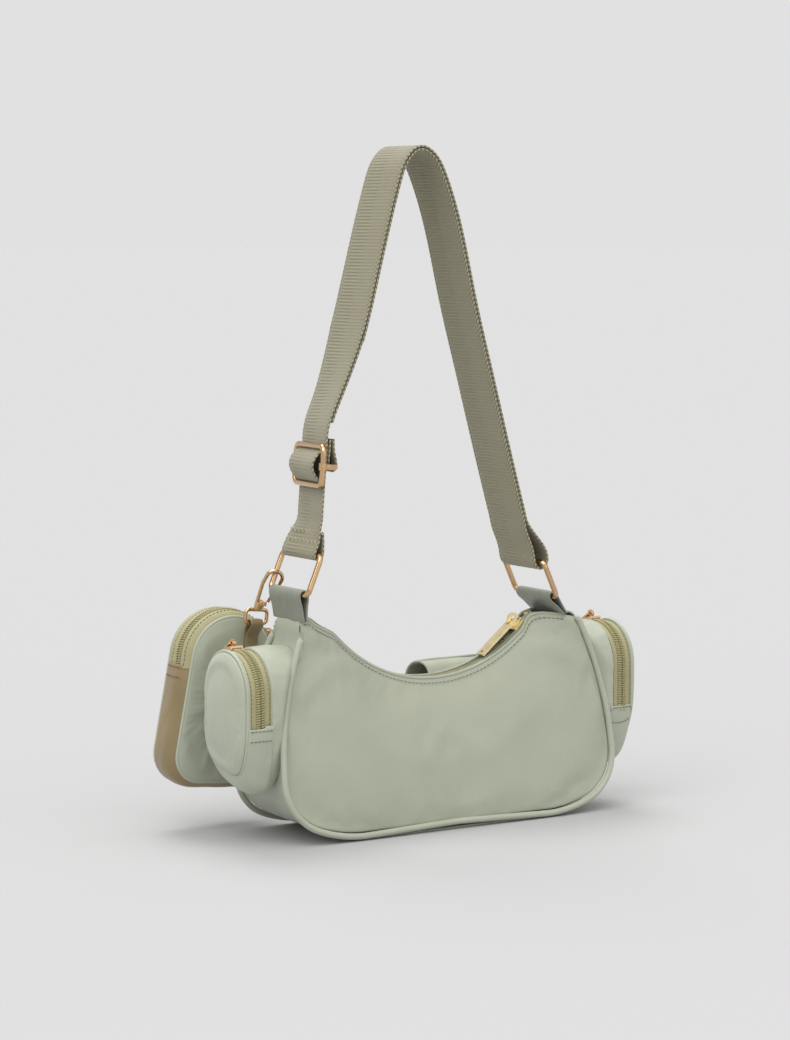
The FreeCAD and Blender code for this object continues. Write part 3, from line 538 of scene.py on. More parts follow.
def panel_net(side, depth, columns, rows):
    """Net of a main panel; rows run from seam to top edge.  side is -1 for the back."""
    low = outline(SEAM, depth)
    high = top_edge()
    t_low = np.linspace(0, len(low) - 1, columns)
    t_high = np.linspace(0, len(high) - 1, columns)
    net = []
    for i in range(columns):
        a = np.array([np.interp(t_low[i], range(len(low)), low[:, k]) for k in (0, 1)])
        b = np.array([np.interp(t_high[i], range(len(high)), high[:, k]) for k in (0, 1)])
        row = []
        for j in range(rows):
            t = j / (rows - 1)
            t = t + 0.12 * sin(2 * pi * t) / (2 * pi)
            x, z = a + (b - a) * t
            z -= depth * 0.8 * t
            row.append(V(x, side * (panel_y(x, z) - depth), z))
        net.append(row)
    return np.array(net)


def border(columns, rows):
    """Vertex numbers round the edge of a columns by rows net."""
    return [i * rows + j for i in range(columns) for j in range(rows)
            if i in (0, columns - 1) or j in (0, rows - 1)]


def panel_relief(p, side):
    """Gentle folds of a panel: sag lines below the ears and along the base, none at the seams."""
    x, z = p[0], p[2]
    below_ear = exp(-((abs(x) - 88) / 22.0) ** 2 - ((z - 112) / 16.0) ** 2)
    folds = 0.9 * below_ear * sin((z * 0.9 + abs(x) * 0.55) / 5.2)
    low = 0.5 * exp(-((z - 14) / 9.0) ** 2) * wrinkle(p, 26.0, 3.0)
    return folds + low + 0.8 * wrinkle(p, 48.0, 7.0 + side)


def make_panel(name, side, node):
    columns, rows = 121, 41
    net = panel_net(side, 0.0, columns, rows)
    for i in range(columns):
        for j in range(rows):
            edge = min(j, rows - 1 - j, 6) / 6.0 * min(i, columns - 1 - i, 4) / 4.0
            net[i, j, 1] += side * (panel_relief(net[i, j], side) + 0.6) * smooth(edge)
    verts, faces, uvs = grid(net)
    if side > 0:
        faces = [f[::-1] for f in faces]
    made = mesh_piece(name, verts, faces, M["shell"], None, "shell_nylon", uvs)
    settle(made, border(columns, rows), 0.55, 1.6, shrink=-0.006)
    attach(made, "bag")
    thicken(made, 1.5)
    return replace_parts(made, node)


def make_bag():
    make_panel("back_panel_cloth", -1, "back_panel")
    make_panel("front_panel_cloth", 1, "front_panel")

    path = [V(-93.2, 0, 134.6), V(-96.4, 0, 136.9), V(-101.0, 0, 136.2), V(-102.6, 0, 130.0)]
    path += [V(x, 0, z) for x, z in outline(BELLY)]
    path += [V(102.6, 0, 124.8), V(100.6, 0, 127.4), V(97.0, 0, 128.3), V(93.6, 0, 128.2)]
    path = resample(spline(path, 2), 2.2)
    rows = []
    for p, along in zip(path, tangents(path)):
        out = unit(np.cross(along, Y))
        out = out * (-1 if out @ (p - V(0, 0, 70)) < 0 else 1)
        half = seam_y(max(p[2], SEAM[0])) - 0.9
        row = []
        for w in np.linspace(-1, 1, 25):
            body = 1 - w ** 4
            at = V(p[0], w * half, p[2])
            fold = 0.9 * wrinkle(at, 17.0, 2.0) + 0.5 * wrinkle(at, 8.0, 5.0)
            lift = clamp((p[2] - 9.0) / 14.0)
            tuck = 1.6 * (1 - lift) * abs(w) ** 6
            row.append(p + Y * (w * half) + out * ((fold * body + 0.5 * (1 - body)) * lift - tuck * 0.5))
        rows.append(row)
    gusset = sheet_piece("gusset_cloth", rows, *GUSSET, 1.4, 0.0)
    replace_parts(gusset, "gusset")

    for name, side, node in (("back_piping_cord", -1, "back_piping"),
                             ("front_piping_cord", 1, "front_piping")):
        flat = outline(SEAM, -2.1, 1.6)
        flat = [flat[0] + (1.6, 1.9)] + list(flat) + [flat[-1] + (-1.6, 1.9)]
        line = [V(x, side * (seam_y(z) + 0.9 + 0.16 * wrinkle((x, 0, z), 9.0, side)), z) for x, z in flat]
        piping = tube(name, line, 2.0, *GUSSET, Y, sides=12)
        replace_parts(piping, node)

    def lining_rows(side):
        return [[p * V(0.965, 1, 1) + V(0, -2.2 * side, 2.2) for p in row]
                for row in panel_net(side, 2.0, 61, 21)]

    back = sheet_piece("lining_back", lining_rows(-1), *LINING, 0.4, 1.0, 0)
    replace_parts(back, "lining")
    sheet_piece("lining_front", lining_rows(1), *LINING, 0.4, 1.0, 0)
    rows = [[V(x, panel_y(x, z) - 4.8, z) for z in np.linspace(24, 74, 12)] for x in np.linspace(-52, 52, 24)]
    slip = sheet_piece("slip_pocket_cloth", rows, *LINING, 0.5, 1.0, 0)
    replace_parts(slip, "slip_pocket")
    dress("base_board", "board")


# ---- zips ----
def coil_spans(path, across, outs, half=3.1, pitch=1.5, slant=0.45):
    """Both rows of a nylon coil: short slanted rods either side of the middle line."""
    both = resample(np.concatenate([np.array(path, float), np.array(outs, float)], axis=1), pitch)
    spans = []
    for row, along in zip(both, tangents(both[:, :3])):
        p, out = row[:3], unit(row[3:])
        for s in (-1, 1):
            start = p + across * (s * 0.35) + out * 1.0
            end = p + across * (s * half) + along * (slant * s) + out * 0.55
            spans.append((start, end, out))
    return spans


def tape_rows(path, across, outs, inner, outer, lift=0.0, count=4):
    """Net of one zip tape lying beside the coil; inner and outer are distances from the middle line."""
    return [[p + across * w + out * lift for w in np.linspace(inner, outer, count)]
            for p, out in zip(path, outs)]


def make_main_zip():
    angles = np.linspace(radians(-50.5), radians(50.5), 90)
    path = [V(100.9 * sin(a), 0, MOUTH_Z - 100.9 * cos(a)) for a in angles]
    outs = [V(-sin(a), 0, cos(a)) for a in angles]
    for side, node in ((-1, "main_zip_tape_back"), (1, "main_zip_tape_front")):
        rows = tape_rows(path, Y, outs, side * 0.5, side * 6.6)
        for row, out in zip(rows, outs):
            row[-1] = row[-1] + out * 0.9
        tape = sheet_piece(node + "_cloth", rows, M["tape"], "bag", "zip_tape", 0.6, 0.0)
        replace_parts(tape, node)
        # the panel's upper edge is turned in over the tape
        edge = [V(x, side * (panel_y(x, z) - 0.4), z) for x, z in top_edge(1.5)[8:-7]]
        hem = tube(node + "_hem", edge, 0.95, *SHELL, Y)
        stitch = [V(p[0], side * (panel_y(p[0], p[2] - 3.0) + 0.5), p[2] - 3.0) for p in edge]
        spans = stitch_row(stitch, [V(0, side, 0.4)] * len(stitch), 2.9, 2.1, 0.35)
        capsules(node + "_stitches", spans, 0.27, M["dark_thread"], "bag", "shell_nylon")
    spans = coil_spans(path, Y, outs)
    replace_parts(capsules("main_coil_teeth", spans, 0.62, M["coil"], "bag", "zip_coil"), "main_zip_coil")


# ---- side pockets ----
POCKET_R, ARCH_Z = 25.5, 93.0
# foot of the stuffed face in (y, z), from the far side round to the near side
POCKET_FOOT = [(25.5, 80.0), (24.6, 63.0), (18.5, 51.5), (6.0, 46.3), (-8.0, 44.2), (-15.5, 45.0),
               (-20.5, 52.0), (-24.6, 67.0), (-25.5, 80.0)]


def pocket_outline(step=1.6):
    """Side pocket outline in (y, z), from the far side down, round the foot, up the near side and over."""
    foot = [tuple(p) for p in spline(POCKET_FOOT, 6)]
    arch = [(-POCKET_R * cos(t), ARCH_Z + POCKET_R * sin(t)) for t in np.linspace(0, pi, 30)]
    return resample(foot + arch + [foot[0]], step)[:-1][::-1]


def dome_net(shape, rise, rings):
    """Net from an outline towards its centre, for a padded face: rings[i][j] = (a, b, height)."""
    shape = np.array(shape, float)
    middle = (shape.max(0) + shape.min(0)) / 2
    net = []
    for t in np.linspace(0, 0.93, rings):
        height = rise * (1 - (1 - t) ** 2.6)
        net.append([np.append(middle + (p - middle) * (1 - t), height) for p in shape])
    return np.array(net), np.append(middle, rise)


def padded_face(name, shape, rise, place, material, body, slot, node, thickness, cap, flip=False):
    """Stuffed end of a pocket or pouch.  place(a, b, height) puts the outline's plane in the bag's frame."""
    net, peak = dome_net(shape, rise, 14)
    rings, count = net.shape[:2]
    points = [[place(*q) for q in ring] for ring in net]
    verts, faces, _ = grid(points, wrap_columns=True)
    verts = list(verts) + [place(*peak)]
    last = (rings - 1) * count
    faces += [(last + k, rings * count, last + (k + 1) % count) for k in range(count)]
    flat = [(q[0], q[1]) for ring in net for q in ring] + [(peak[0], peak[1])]
    if flip:
        faces = [f[::-1] for f in faces]
    made = mesh_piece(name, verts, faces, material, None, slot, flat)
    settle(made, range(2 * count), 1.2, cap, shrink=-0.01)
    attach(made, body)
    thicken(made, thickness)
    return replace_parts(made, node)


def make_pocket(name, side):
    face_x = {-1: 147.0, 1: 143.0}[side]
    zip_x = face_x - 10.4
    seam_x = face_x - 2.0
    patch_z = {-1: 75.0, 1: 66.0}[side]
    belly = {-1: 11.0, 1: 15.0}[side]

    def place(x, y, z):
        return V(side * x, y, z)

    def wall_x(z):
        """Where the pocket meets the bag's side at a height."""
        if z > CORNER_Z:
            return 120 - SIDE_R + sqrt(max(SIDE_R ** 2 - (z - CORNER_Z) ** 2, 0.0)) + 0.4
        return 120 - CORNER_R + sqrt(max(CORNER_R ** 2 - (CORNER_Z - z) ** 2, 0.0)) + 0.4

    shape = pocket_outline()
    outs = [np.array((along[1], -along[0])) for along in tangents(shape, True)]

    def wall(x, p, out, lift=0.0):
        """Point of the pocket's soft side wall at a distance from the bag's middle plane."""
        start = wall_x(p[1])
        t = clamp((x - start) / (seam_x - start))
        arc = sin(pi * t)
        droop = belly * smooth((66.0 - p[1]) / 22.0) * sqrt(arc)
        fold = 0.7 * wrinkle((x, p[0] * 1.4, p[1]), 11.0, side) + 0.35 * wrinkle((x, p[0], p[1]), 5.0, 4.0)
        q = p + out * (0.6 * arc + fold * sqrt(arc) + lift)
        room = seam_y(q[1]) - 2.0 + 14.0 * smooth((x - start) / 14.0)
        return place(x, min(max(q[0], -room), room), q[1] - droop)

    def strip(label, x0, x1, count, lift, thickness, z_limit=None):
        rows = [[wall(x, p, out, lift) for x in np.linspace(wall_x(p[1]) if x0 is None else x0, x1, count)]
                for p, out in zip(shape, outs)]
        keep = (lambda c: c[2] < z_limit) if z_limit else None
        verts, faces, uvs = grid(rows, wrap_rows=True, keep=keep)
        if side > 0:
            faces = [f[::-1] for f in faces]
        made = mesh_piece(name + label, verts, faces, *GUSSET, uvs)
        return thicken(made, thickness)

    inner = strip("_pocket_side", None, zip_x - 7.4, 14, 0.0, 1.2)
    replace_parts(inner, name + "_pocket_band")
    strip("_pocket_low_side", zip_x - 8.2, seam_x + 0.4, 9, -0.1, 1.2, patch_z - 6.0)
    patch = strip("_pocket_binding", zip_x - 9.0, seam_x + 0.2, 9, 0.7, 1.0, patch_z)
    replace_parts(patch, name + "_pocket_patch")

    # zip over the arch, down both sides to the binding
    zip_r = POCKET_R - 0.3
    half = [(zip_r, patch_z - 3.0)]
    half += [(zip_r * cos(t), ARCH_Z + zip_r * sin(t)) for t in np.linspace(0, pi / 2, 14)]
    half = np.array(half)
    over = resample(np.concatenate([half, half[-2::-1] * (-1, 1)]), 1.5)
    path = [place(zip_x, y, z) for y, z in over]
    zip_outs = [place(0, *unit(np.array((y, max(z - ARCH_Z, 0.0))))) for y, z in over]
    for s, label in ((-1, "inner"), (1, "outer")):
        rows = tape_rows(path, X * side, zip_outs, 0.0, s * 8.2, 0.0, 6)
        tape = sheet_piece(name + "_zip_tape_" + label, rows, M["tape"], "bag", "zip_tape", 0.6, 0.0)
        seam = [p + X * (side * s * 6.2) for p in path]
        capsules(name + "_zip_stitches_" + label, stitch_row(seam, zip_outs, 2.6, 1.9, 0.3), 0.24,
                 M["dark_thread"], "bag", "zip_tape")
        if s < 0:
            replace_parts(tape, name + "_pocket_zip_tape")
        lip = [p + X * (side * s * 7.9) + o * 0.7 for p, o in zip(path, zip_outs)]
        tube(name + "_zip_lip_" + label, lip, 0.8, *GUSSET, X)
    spans = coil_spans(path, X * side, zip_outs)
    teeth = capsules(name + "_coil_teeth", spans, 0.62, M["coil"], "bag", "zip_coil")
    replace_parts(teeth, name + "_pocket_coil")

    for s in (-1, 1):
        for k, drop in enumerate((2.0, 8.0)):
            p = min(shape, key=lambda q: abs(q[1] - patch_z + drop) + (100 if q[0] * s < 0 else 0))
            seam = [wall(x, p, np.array((s, 0.0)), 1.8)
                    for x in np.linspace(zip_x - 8.4, seam_x - 0.6, 14)]
            spans = stitch_row(seam, [Y * s] * 14, 2.6, 1.9, 0.15)
            capsules("%s_patch_stitches_%d%d" % (name, s + 1, k), spans, 0.3, M["dark_thread"], "bag",
                     "gusset_nylon")

    rim = [place(seam_x + 0.4, *(p + o * 0.3)) for p, o in zip(shape, outs)]
    tube(name + "_face_seam", rim, 1.0, *GUSSET, X, True)
    inset = [p - o * 0.5 for p, o in zip(shape, outs)]
    padded_face(name + "_pocket_end", inset, 8.2, lambda a, b, h: place(seam_x + 0.6 + h, a, b - 0.1 * h),
                *GUSSET, name + "_pocket_face", 1.3, 2.4, flip=side < 0)


# ---- front flap pocket ----
FLAP_X, FLAP_HALF = 33, 29.0
POCKET_SIDES = 40              # points round the pocket bag's section


def make_flap_pocket():
    lean = radians(8.5)
    down, out = V(0, sin(lean), -cos(lean)), V(0, cos(lean), sin(lean))
    top = V(0, seam_y(86) + 0.4, 86)

    def section(u):
        """Cross-section of the pocket bag at a distance down from its mouth."""
        closed = smooth((56 - u) / 9.0) ** 0.5 if u < 56 else 0.0
        thick = 1.6 + 8.0 * closed
        half = 27.0 - 2.5 * smooth((u - 46) / 10.0)
        points = []
        for a in turns(POCKET_SIDES):
            c, s = cos(a), sin(a)
            x = half * copysign(abs(c) ** 0.35, c)
            v = thick / 2 * (1 + copysign(abs(s) ** 0.6, s))
            p = V(FLAP_X + x, 0, 0) + top + down * u + out * v
            points.append(p + out * 0.35 * wrinkle(p, 12.0))
        return points

    rows = [section(u) for u in list(np.linspace(0, 46, 16)) + [49, 52, 54.5, 56]]
    verts, faces, uvs = grid(rows, wrap_columns=True)
    faces.append(tuple((len(rows) - 1) * POCKET_SIDES + k for k in range(POCKET_SIDES)))
    bag = mesh_piece("flap_pocket_cloth", verts, faces, *SHELL, uvs)
    thicken(bag, 1.0)
    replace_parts(bag, "front_pocket")

    front = [top + down * u + out * 12.3 for u in (6, 20, 33)]
    path = [V(0, 18.0, 98.4), V(0, 24.5, 97.4), V(0, 31.0, 93.0)] + [V(0, p[1], p[2]) for p in front]
    path = resample(spline(path, 8), 1.6)
    rows = []
    for k, p in enumerate(path):
        t = k / (len(path) - 1)
        half = FLAP_HALF - 7.0 * smooth((t - 0.78) / 0.22) ** 2
        along = tangents(path)[k]
        normal = unit(np.cross(X, along))
        row = []
        for w in np.linspace(-1, 1, 31):
            pad = 0.8 * (1 - w ** 6) * min(1.0, (1 - t) * 8)
            q = V(FLAP_X + w * half, p[1], p[2])
            row.append(q + normal * (pad + 0.3 * wrinkle(q, 10.0, 1.0)))
        rows.append(row)
    flap = sheet_piece("flap_cloth", rows, M["shell"], "front_flap", "shell_nylon", 1.8, -0.4)
    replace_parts(flap, "front_flap")
    edge = [row[2] for row in rows] + [rows[-2][j] for j in range(3, 28)] + [row[28] for row in rows[::-1]]
    capsules("flap_stitches", stitch_row(edge, [out] * len(edge), 2.9, 2.1, 0.9), 0.27, M["dark_thread"],
             "front_flap", "shell_nylon")

    path = resample(spline([V(0, 6.5, 91.6), V(0, 9.5, 96.0), V(0, 14.0, 98.2), V(0, 17.2, 98.3)], 6), 1.0)
    flat = [[V(FLAP_X + w * FLAP_HALF, p[1], p[2]) for w in np.linspace(-1, 1, 31)] for p in path]
    rows = [[q + Z * 0.4 * wrinkle(q, 9.0, 2.0) for q in row] for row in flat]
    root = sheet_piece("flap_root_cloth", rows, *SHELL, 1.8, -0.4)
    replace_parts(root, "flap_root")


# ---- tabs, strap and its end ----
LEFT_RING = (V(-102, 0, 152), V(-92, 0, 176))
RIGHT_RING = (V(83, 0, 139.5), V(72.5, 0, 162.5))
STRAIGHT_LOW, STRAIGHT_HIGH = V(-86.6, 0, 197), V(-82.2, 0, 252)
TWIST = radians(8.7)
ARCH = [V(-75.5, 0, 270), V(-67.5, 0, 290), V(-59.5, 0, 314), V(-51, 0, 345), V(-42, 0, 379), V(-35, 0, 403),
        V(-27.5, 0, 419), V(-18, 0, 425), V(-8, 0, 420.5), V(0, 0, 408), V(11, 0, 377), V(22.5, 0, 330),
        V(34, 0, 288), V(45, 0, 248), V(54, 0, 216), V(61.5, 0, 190)]
LAYER_PITCH = 1.9
FOLD_GAP = 1.1                 # half the gap between the middles of two folded layers
RING_R, CLEAR = 1.8, 0.35      # radius of a ring's wire, and the play between it and the cloth
INNER_END_Z = 252              # the inner layer stops here on the left leg
ZIGZAGS, ZIGZAG_HALF = 15, 17.5
BAR_RISE = 33.0                # adjuster bar's height up the straight run
END_WIDTH, END_THICK = 39.0, 1.3


def fold_round(bar, up, reach, radius, half_gap, across=Y):
    """A strip folded round a bar: up one side, round, and back along the other leg."""
    side = unit(np.cross(up, across))
    turn = [bar + side * (radius * cos(a)) + up * (radius * sin(a))
            for a in np.linspace(pi, 2 * pi, 6)]
    mid_gap = (radius + half_gap) / 2
    return ([bar + up * reach - side * half_gap, bar + up * (reach * 0.45) - side * mid_gap] + turn +
            [bar + up * (reach * 0.45) + side * mid_gap, bar + up * reach + side * half_gap])


def web_profile(width, thickness):
    """Cross-section of webbing: flat with a corded selvage along both edges."""
    half, t = width / 2, thickness / 2
    flat = half - 1.9
    top = [(t * 0.92, w) for w in np.linspace(-flat, flat, 9)]
    right = [(t * 0.8, half - 1.5), (t * 1.05, half - 0.8), (t * 0.7, half - 0.15), (0.0, half)]
    low = [(-a, w) for a, w in reversed(top)]
    right += [(-a, w) for a, w in reversed(right[:-1])]
    left = [(-a, -w) for a, w in right]
    return top + right + low + left


def web_piece(name, path, across, width, thickness, material, body, slot, start_u=0.0):
    """Swept webbing whose uvs run along it and across it."""
    profile = web_profile(width, thickness)
    rows = sweep(path, profile, across)
    verts, faces, _ = grid(rows, wrap_columns=True)
    m, n = len(profile), len(rows)
    run = run_length(path) + start_u
    uvs = [(run[i], w) for i in range(n) for _, w in profile]
    faces += [tuple(reversed(range(m))), tuple((n - 1) * m + k for k in range(m))]
    return mesh_piece(name, verts, faces, material, body, slot, uvs)


def twist_at(p):
    left = smooth((p[2] - 182) / 14.0) * (1 - smooth((p[2] - 262) / 60.0)) if p[0] < -60 else 0.0
    return V(sin(TWIST * left), cos(TWIST * left), 0)


def make_strap():
    left_bar, right_bar = LEFT_RING[1], RIGHT_RING[1]
    fold = fold_round(left_bar, unit(STRAIGHT_LOW - left_bar), 13.0, RING_R + CLEAR + 0.65, FOLD_GAP)
    straight = [STRAIGHT_LOW + (STRAIGHT_HIGH - STRAIGHT_LOW) * t for t in (0, 0.25, 0.5, 0.75, 1)]
    outer = resample(spline(straight + ARCH, 8), 6.0)
    inner = [p - unit(np.cross(a, Y)) * LAYER_PITCH for p, a in zip(outer, tangents(outer))
             if p[2] > INNER_END_Z or p[0] > 0]
    loop = [right_bar + V(x, 0, z) for x, z in (
        (-7.2, 21.5), (0.2, 13.0), (4.9, 5.0), (4.5, -1.8), (0, -4.4), (-3.8, -1.6), (-5.2, 4.0),
        (-7.8, 12.5), (-11.2, 20.5))]
    path = resample(spline(fold + list(outer) + loop + inner[::-1], 6), 2.0)
    across = np.array([twist_at(p) for p in path])
    strap = web_piece("strap_web", path, across, 40.0, 1.35, M["webbing"], "strap", "webbing")
    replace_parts(strap, "strap_webbing")

    up = unit(STRAIGHT_LOW - left_bar)
    side = unit(np.cross(up, Y))
    for row, reach in enumerate((7.5, 13.5)):
        for face, sign in (("out", -1), ("in", 1)):
            mid = left_bar + up * reach + side * (sign * (FOLD_GAP + 0.9 + 0.09 * (13.0 - reach)))
            points = [mid + Y * (-ZIGZAG_HALF + 2 * ZIGZAG_HALF * k / ZIGZAGS) + up * (1.2 if k % 2 else -1.2)
                      for k in range(ZIGZAGS + 1)]
            zigzag = [(a, b, side * sign) for a, b in zip(points, points[1:])]
            capsules("strap_zigzag_%s_%d" % (face, row), zigzag, 0.4, M["web_thread"], "strap", "webbing")

    up = unit(STRAIGHT_HIGH - STRAIGHT_LOW)
    width = V(sin(TWIST), cos(TWIST), 0)
    width = unit(width - up * (width @ up))
    out = unit(np.cross(width, up))
    out = -out if out[0] > 0 else out
    behind = 0.65 + 0.9 + 1.3 + 0.3 + 1.6       # the end's bar, behind the middle of the strap
    axis = STRAIGHT_LOW + up * BAR_RISE - out * behind
    fold = fold_round(axis, up, 17.0, 1.6 + 0.3 + 0.65, 1.1, width)
    shift = out * (behind - (1.3 + 0.9 + 1.1))
    share = [1.0, 0.55] + [0.0] * (len(fold) - 4) + [0.55, 1.0]
    path = resample(spline([p + shift * k for p, k in zip(fold, share)], 8), 1.0)
    end = web_piece("strap_end_web", path, width, END_WIDTH, END_THICK, M["webbing"], "adjuster_bar",
                    "webbing", 300.0)
    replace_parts(end, "strap_end_loop")

    # in the adjuster's window the strap comes forward over the bar, and it goes back behind the frame
    middle = STRAIGHT_LOW + up * BAR_RISE
    bulge = [middle + up * (k * 10.4) + out * (1.1 + 7.2 * cos(k * pi / 2) ** 0.8)
             for k in np.linspace(-1, 1, 15)]
    bulge = [middle - up * 13.5 + out * 1.0] + bulge + [middle + up * 13.5 + out * 1.0]
    web_piece("strap_over_bar", resample(spline(bulge, 6), 1.0), width, END_WIDTH, END_THICK, M["webbing"],
              "adjuster", "webbing", 150.0)


def make_tab(name, side, bar, base):
    """Nylon loop sewn to the ear and folded round the ring."""
    down = base - bar
    path = fold_round(bar, unit(down), np.linalg.norm(down), RING_R + CLEAR + 0.7, 1.15)
    tail = unit(path[-1] - path[-2])
    path = [path[0] - unit(path[1] - path[0]) * 3.0] + path + [path[-1] + tail * 3.0]
    path = resample(spline(path, 8), 1.0)
    rows = []
    for p in sweep(path, [(0.0, w) for w in np.linspace(-19.0, 19.0, 27)], Y):
        rows.append([q + X * 0.35 * wrinkle(q, 7.0, side) for q in p])
    verts, faces, uvs = grid(rows)
    # the tab material's darker colour is partly painted shade
    tab = mesh_piece(name + "_cloth", verts, faces, M["tab"], None, "webbing", uvs)
    thicken(tab, 1.3, 0.0, 1)
    tuple((bar - unit(bar - base) * 2.5) * MM)
    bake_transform(tab)
    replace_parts(tab, name)


# ---- hanging pouch ----
POUCH_AT, POUCH_R, TAPER = V(-117.5, 57, 106), 31.0, radians(6.0)
POUCH_DROP, POUCH_CORNER, POUCH_DEPTH, ROLL = 86.0, 20.0, 13.0, radians(5.0)
LEATHER_TOP = -4.5             # below the dome's centre
LEATHER_SLOPE = -0.087         # its upper edge leans with the pouch's roll
NEAR_INSET = 3.6               # the near face is smaller, so the strip rounds in to it
FACE_Y = 11.9                  # the seams' distance from the pouch's middle plane
EYE_BAR, LOOP_R = V(-105.56, 35.35, 129.33), 2.35   # swivel eye's bar and the leather's turn round it


def pouch_place(x, y, z):
    """Pouch plane (x, z about the dome's centre, y through it) into the bag's frame."""
    return POUCH_AT + V(x * cos(ROLL) + z * sin(ROLL), y, -x * sin(ROLL) + z * cos(ROLL))


def pouch_outline(inset=0.0, step=1.6):
    """Outline about the dome's centre, from the bottom centre round the right, the dome and the left."""
    radius, corner = POUCH_R - inset, POUCH_CORNER - inset
    side = np.array((radius * cos(TAPER), radius * sin(TAPER)))
    length = POUCH_DROP - POUCH_CORNER - 4.0
    foot = side + np.array((sin(TAPER), -cos(TAPER))) * length
    centre = foot - np.array((cos(TAPER), sin(TAPER))) * corner
    points = [(0.0, centre[1] - corner)]
    points += [tuple(centre + corner * np.array((cos(t), sin(t))))
               for t in np.linspace(-pi / 2, TAPER, 9)]
    points += [(radius * cos(t), radius * sin(t)) for t in np.linspace(TAPER, pi / 2, 14)]
    right = resample(points, step)
    return np.concatenate([right, right[-2:0:-1] * (-1, 1)])


def make_pouch():
    shape = pouch_outline()
    outs = [np.array((a[1], -a[0])) for a in tangents(shape, True)]

    def strip(label, y0, y1, count, bulge, material, slot, keep, thickness=1.2):
        rows = []
        for p, out in zip(shape, outs):
            row = []
            for t in np.linspace(0, 1, count):
                y = y0 + (y1 - y0) * t
                arc = sin(pi * t)
                fold = 0.5 * wrinkle((p[0], y * 1.5, p[1]), 12.0, 6.0)
                shoulder = NEAR_INSET * (1 - smooth(t * 3.0))
                q = p + out * ((bulge + fold) * arc - shoulder)
                row.append(pouch_place(q[0], y, q[1]))
            rows.append(row)
        verts, faces, uvs = grid(rows, wrap_rows=True, keep=keep)
        made = mesh_piece("pouch_" + label, verts, faces, material, "pouch", slot, uvs)
        return thicken(made, thickness, 1.0, 1)

    low = pouch_place(0, 0, LEATHER_TOP)[2]
    leather_piece = strip("leather_cloth", -11.6, 11.6, 13, 1.3, M["leather"], "pouch_leather",
                          lambda c: c[2] < low + LEATHER_SLOPE * (c[0] - POUCH_AT[0]))
    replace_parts(leather_piece, "pouch_leather")

    foot = LEATHER_TOP - 2.0
    spread = POUCH_R - foot * tan(TAPER)
    dome = [(POUCH_R * cos(t), POUCH_R * sin(t)) for t in np.linspace(0, pi, 50)]
    over = resample([(spread, foot)] + dome + [(-spread, foot)], 1.5)
    path = [pouch_place(0.987 * x, 0, 0.987 * z) for x, z in over]
    zip_outs = [unit(pouch_place(x, 0, max(z, 0.0)) - POUCH_AT) for x, z in over]
    for s, label in ((-1, "near"), (1, "far")):
        rows = tape_rows(path, Y, zip_outs, 0.0, s * 11.5, 0.0, 9)
        if s < 0:
            for row, out in zip(rows, zip_outs):
                for k, fall in ((-3, 0.5), (-2, 1.8), (-1, NEAR_INSET)):
                    row[k] = row[k] - out * fall
        tape = sheet_piece("pouch_zip_tape_" + label, rows, M["tape"], "pouch", "zip_tape", 0.7, 0.0)
        if s < 0:
            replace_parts(tape, "pouch_zip_tape")
        seam = [p + Y * (s * 7.6) for p in path]
        spans = stitch_row(seam, zip_outs, 2.6, 1.9, 0.4)
        capsules("pouch_zip_stitches_" + label, spans, 0.24, M["dark_thread"], "pouch", "zip_tape")
    spans = coil_spans(path, Y, zip_outs)
    teeth = capsules("pouch_coil_teeth", spans, 0.62, M["coil"], "pouch", "zip_coil")
    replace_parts(teeth, "pouch_coil")
    for side in (-1, 1):
        for k, drop in enumerate((1.6, 7.6)):
            z = LEATHER_TOP - drop
            seam = [pouch_place(side * (POUCH_R + 0.5 - z * tan(TAPER) + 1.3 * cos(y / 7.4)), y, z)
                    for y in np.linspace(-8.6, 10.5, 14)]
            outward = pouch_place(side, 0, 0) - POUCH_AT
            spans = stitch_row(seam, [outward] * 14, 2.6, 1.9, 0.35)
            capsules("pouch_leather_stitches_%d%d" % (side + 1, k), spans, 0.32, M["leather_thread"], "pouch",
                     "pouch_leather")

    for side, node in ((-1, "pouch_back_face"), (1, "pouch_front_face")):
        label = "near" if side < 0 else "far"
        inset = pouch_outline(NEAR_INSET + 0.4 if side < 0 else 0.9)
        rim = [pouch_place(p[0], side * FACE_Y, p[1]) for p in inset]
        tube("pouch_seam_" + label, rim, 1.15, M["gusset"], "pouch", "gusset_nylon", Y, True)
        padded_face("pouch_face_" + label, inset, 2.6,
                    lambda a, b, h, side=side: pouch_place(a, side * (FACE_Y + h), b),
                    M["gusset"], "pouch", "gusset_nylon", node, 1.2, 1.8, flip=side > 0)

    bar = EYE_BAR
    face_y = POUCH_AT[1] - POUCH_DEPTH - 0.4
    path = [V(bar[0], face_y - 0.8, bar[2] - 17), V(bar[0], face_y - 1.2, bar[2] - 9)]
    path += [V(bar[0], bar[1] + LOOP_R * cos(a), bar[2] + LOOP_R * sin(a))
             for a in np.radians((30, 80, 128, 177, 225))]
    path += [V(bar[0], face_y - 4.2, bar[2] - 8), V(bar[0], face_y - 3.2, bar[2] - 17)]
    path = resample(spline(path, 8), 0.9)
    profile = [(0.75, -4.2), (0.8, 0.0), (0.75, 4.2), (0.0, 4.8), (-0.75, 4.2), (-0.8, 0.0), (-0.75, -4.2),
               (0.0, -4.8)]
    rows = sweep(path, profile, unit(V(0.995, 0.004, -0.1)))
    loop = capped("pouch_loop_leather", rows, M["leather"], "pouch", "pouch_leather", 1)
    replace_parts(loop, "pouch_loop")


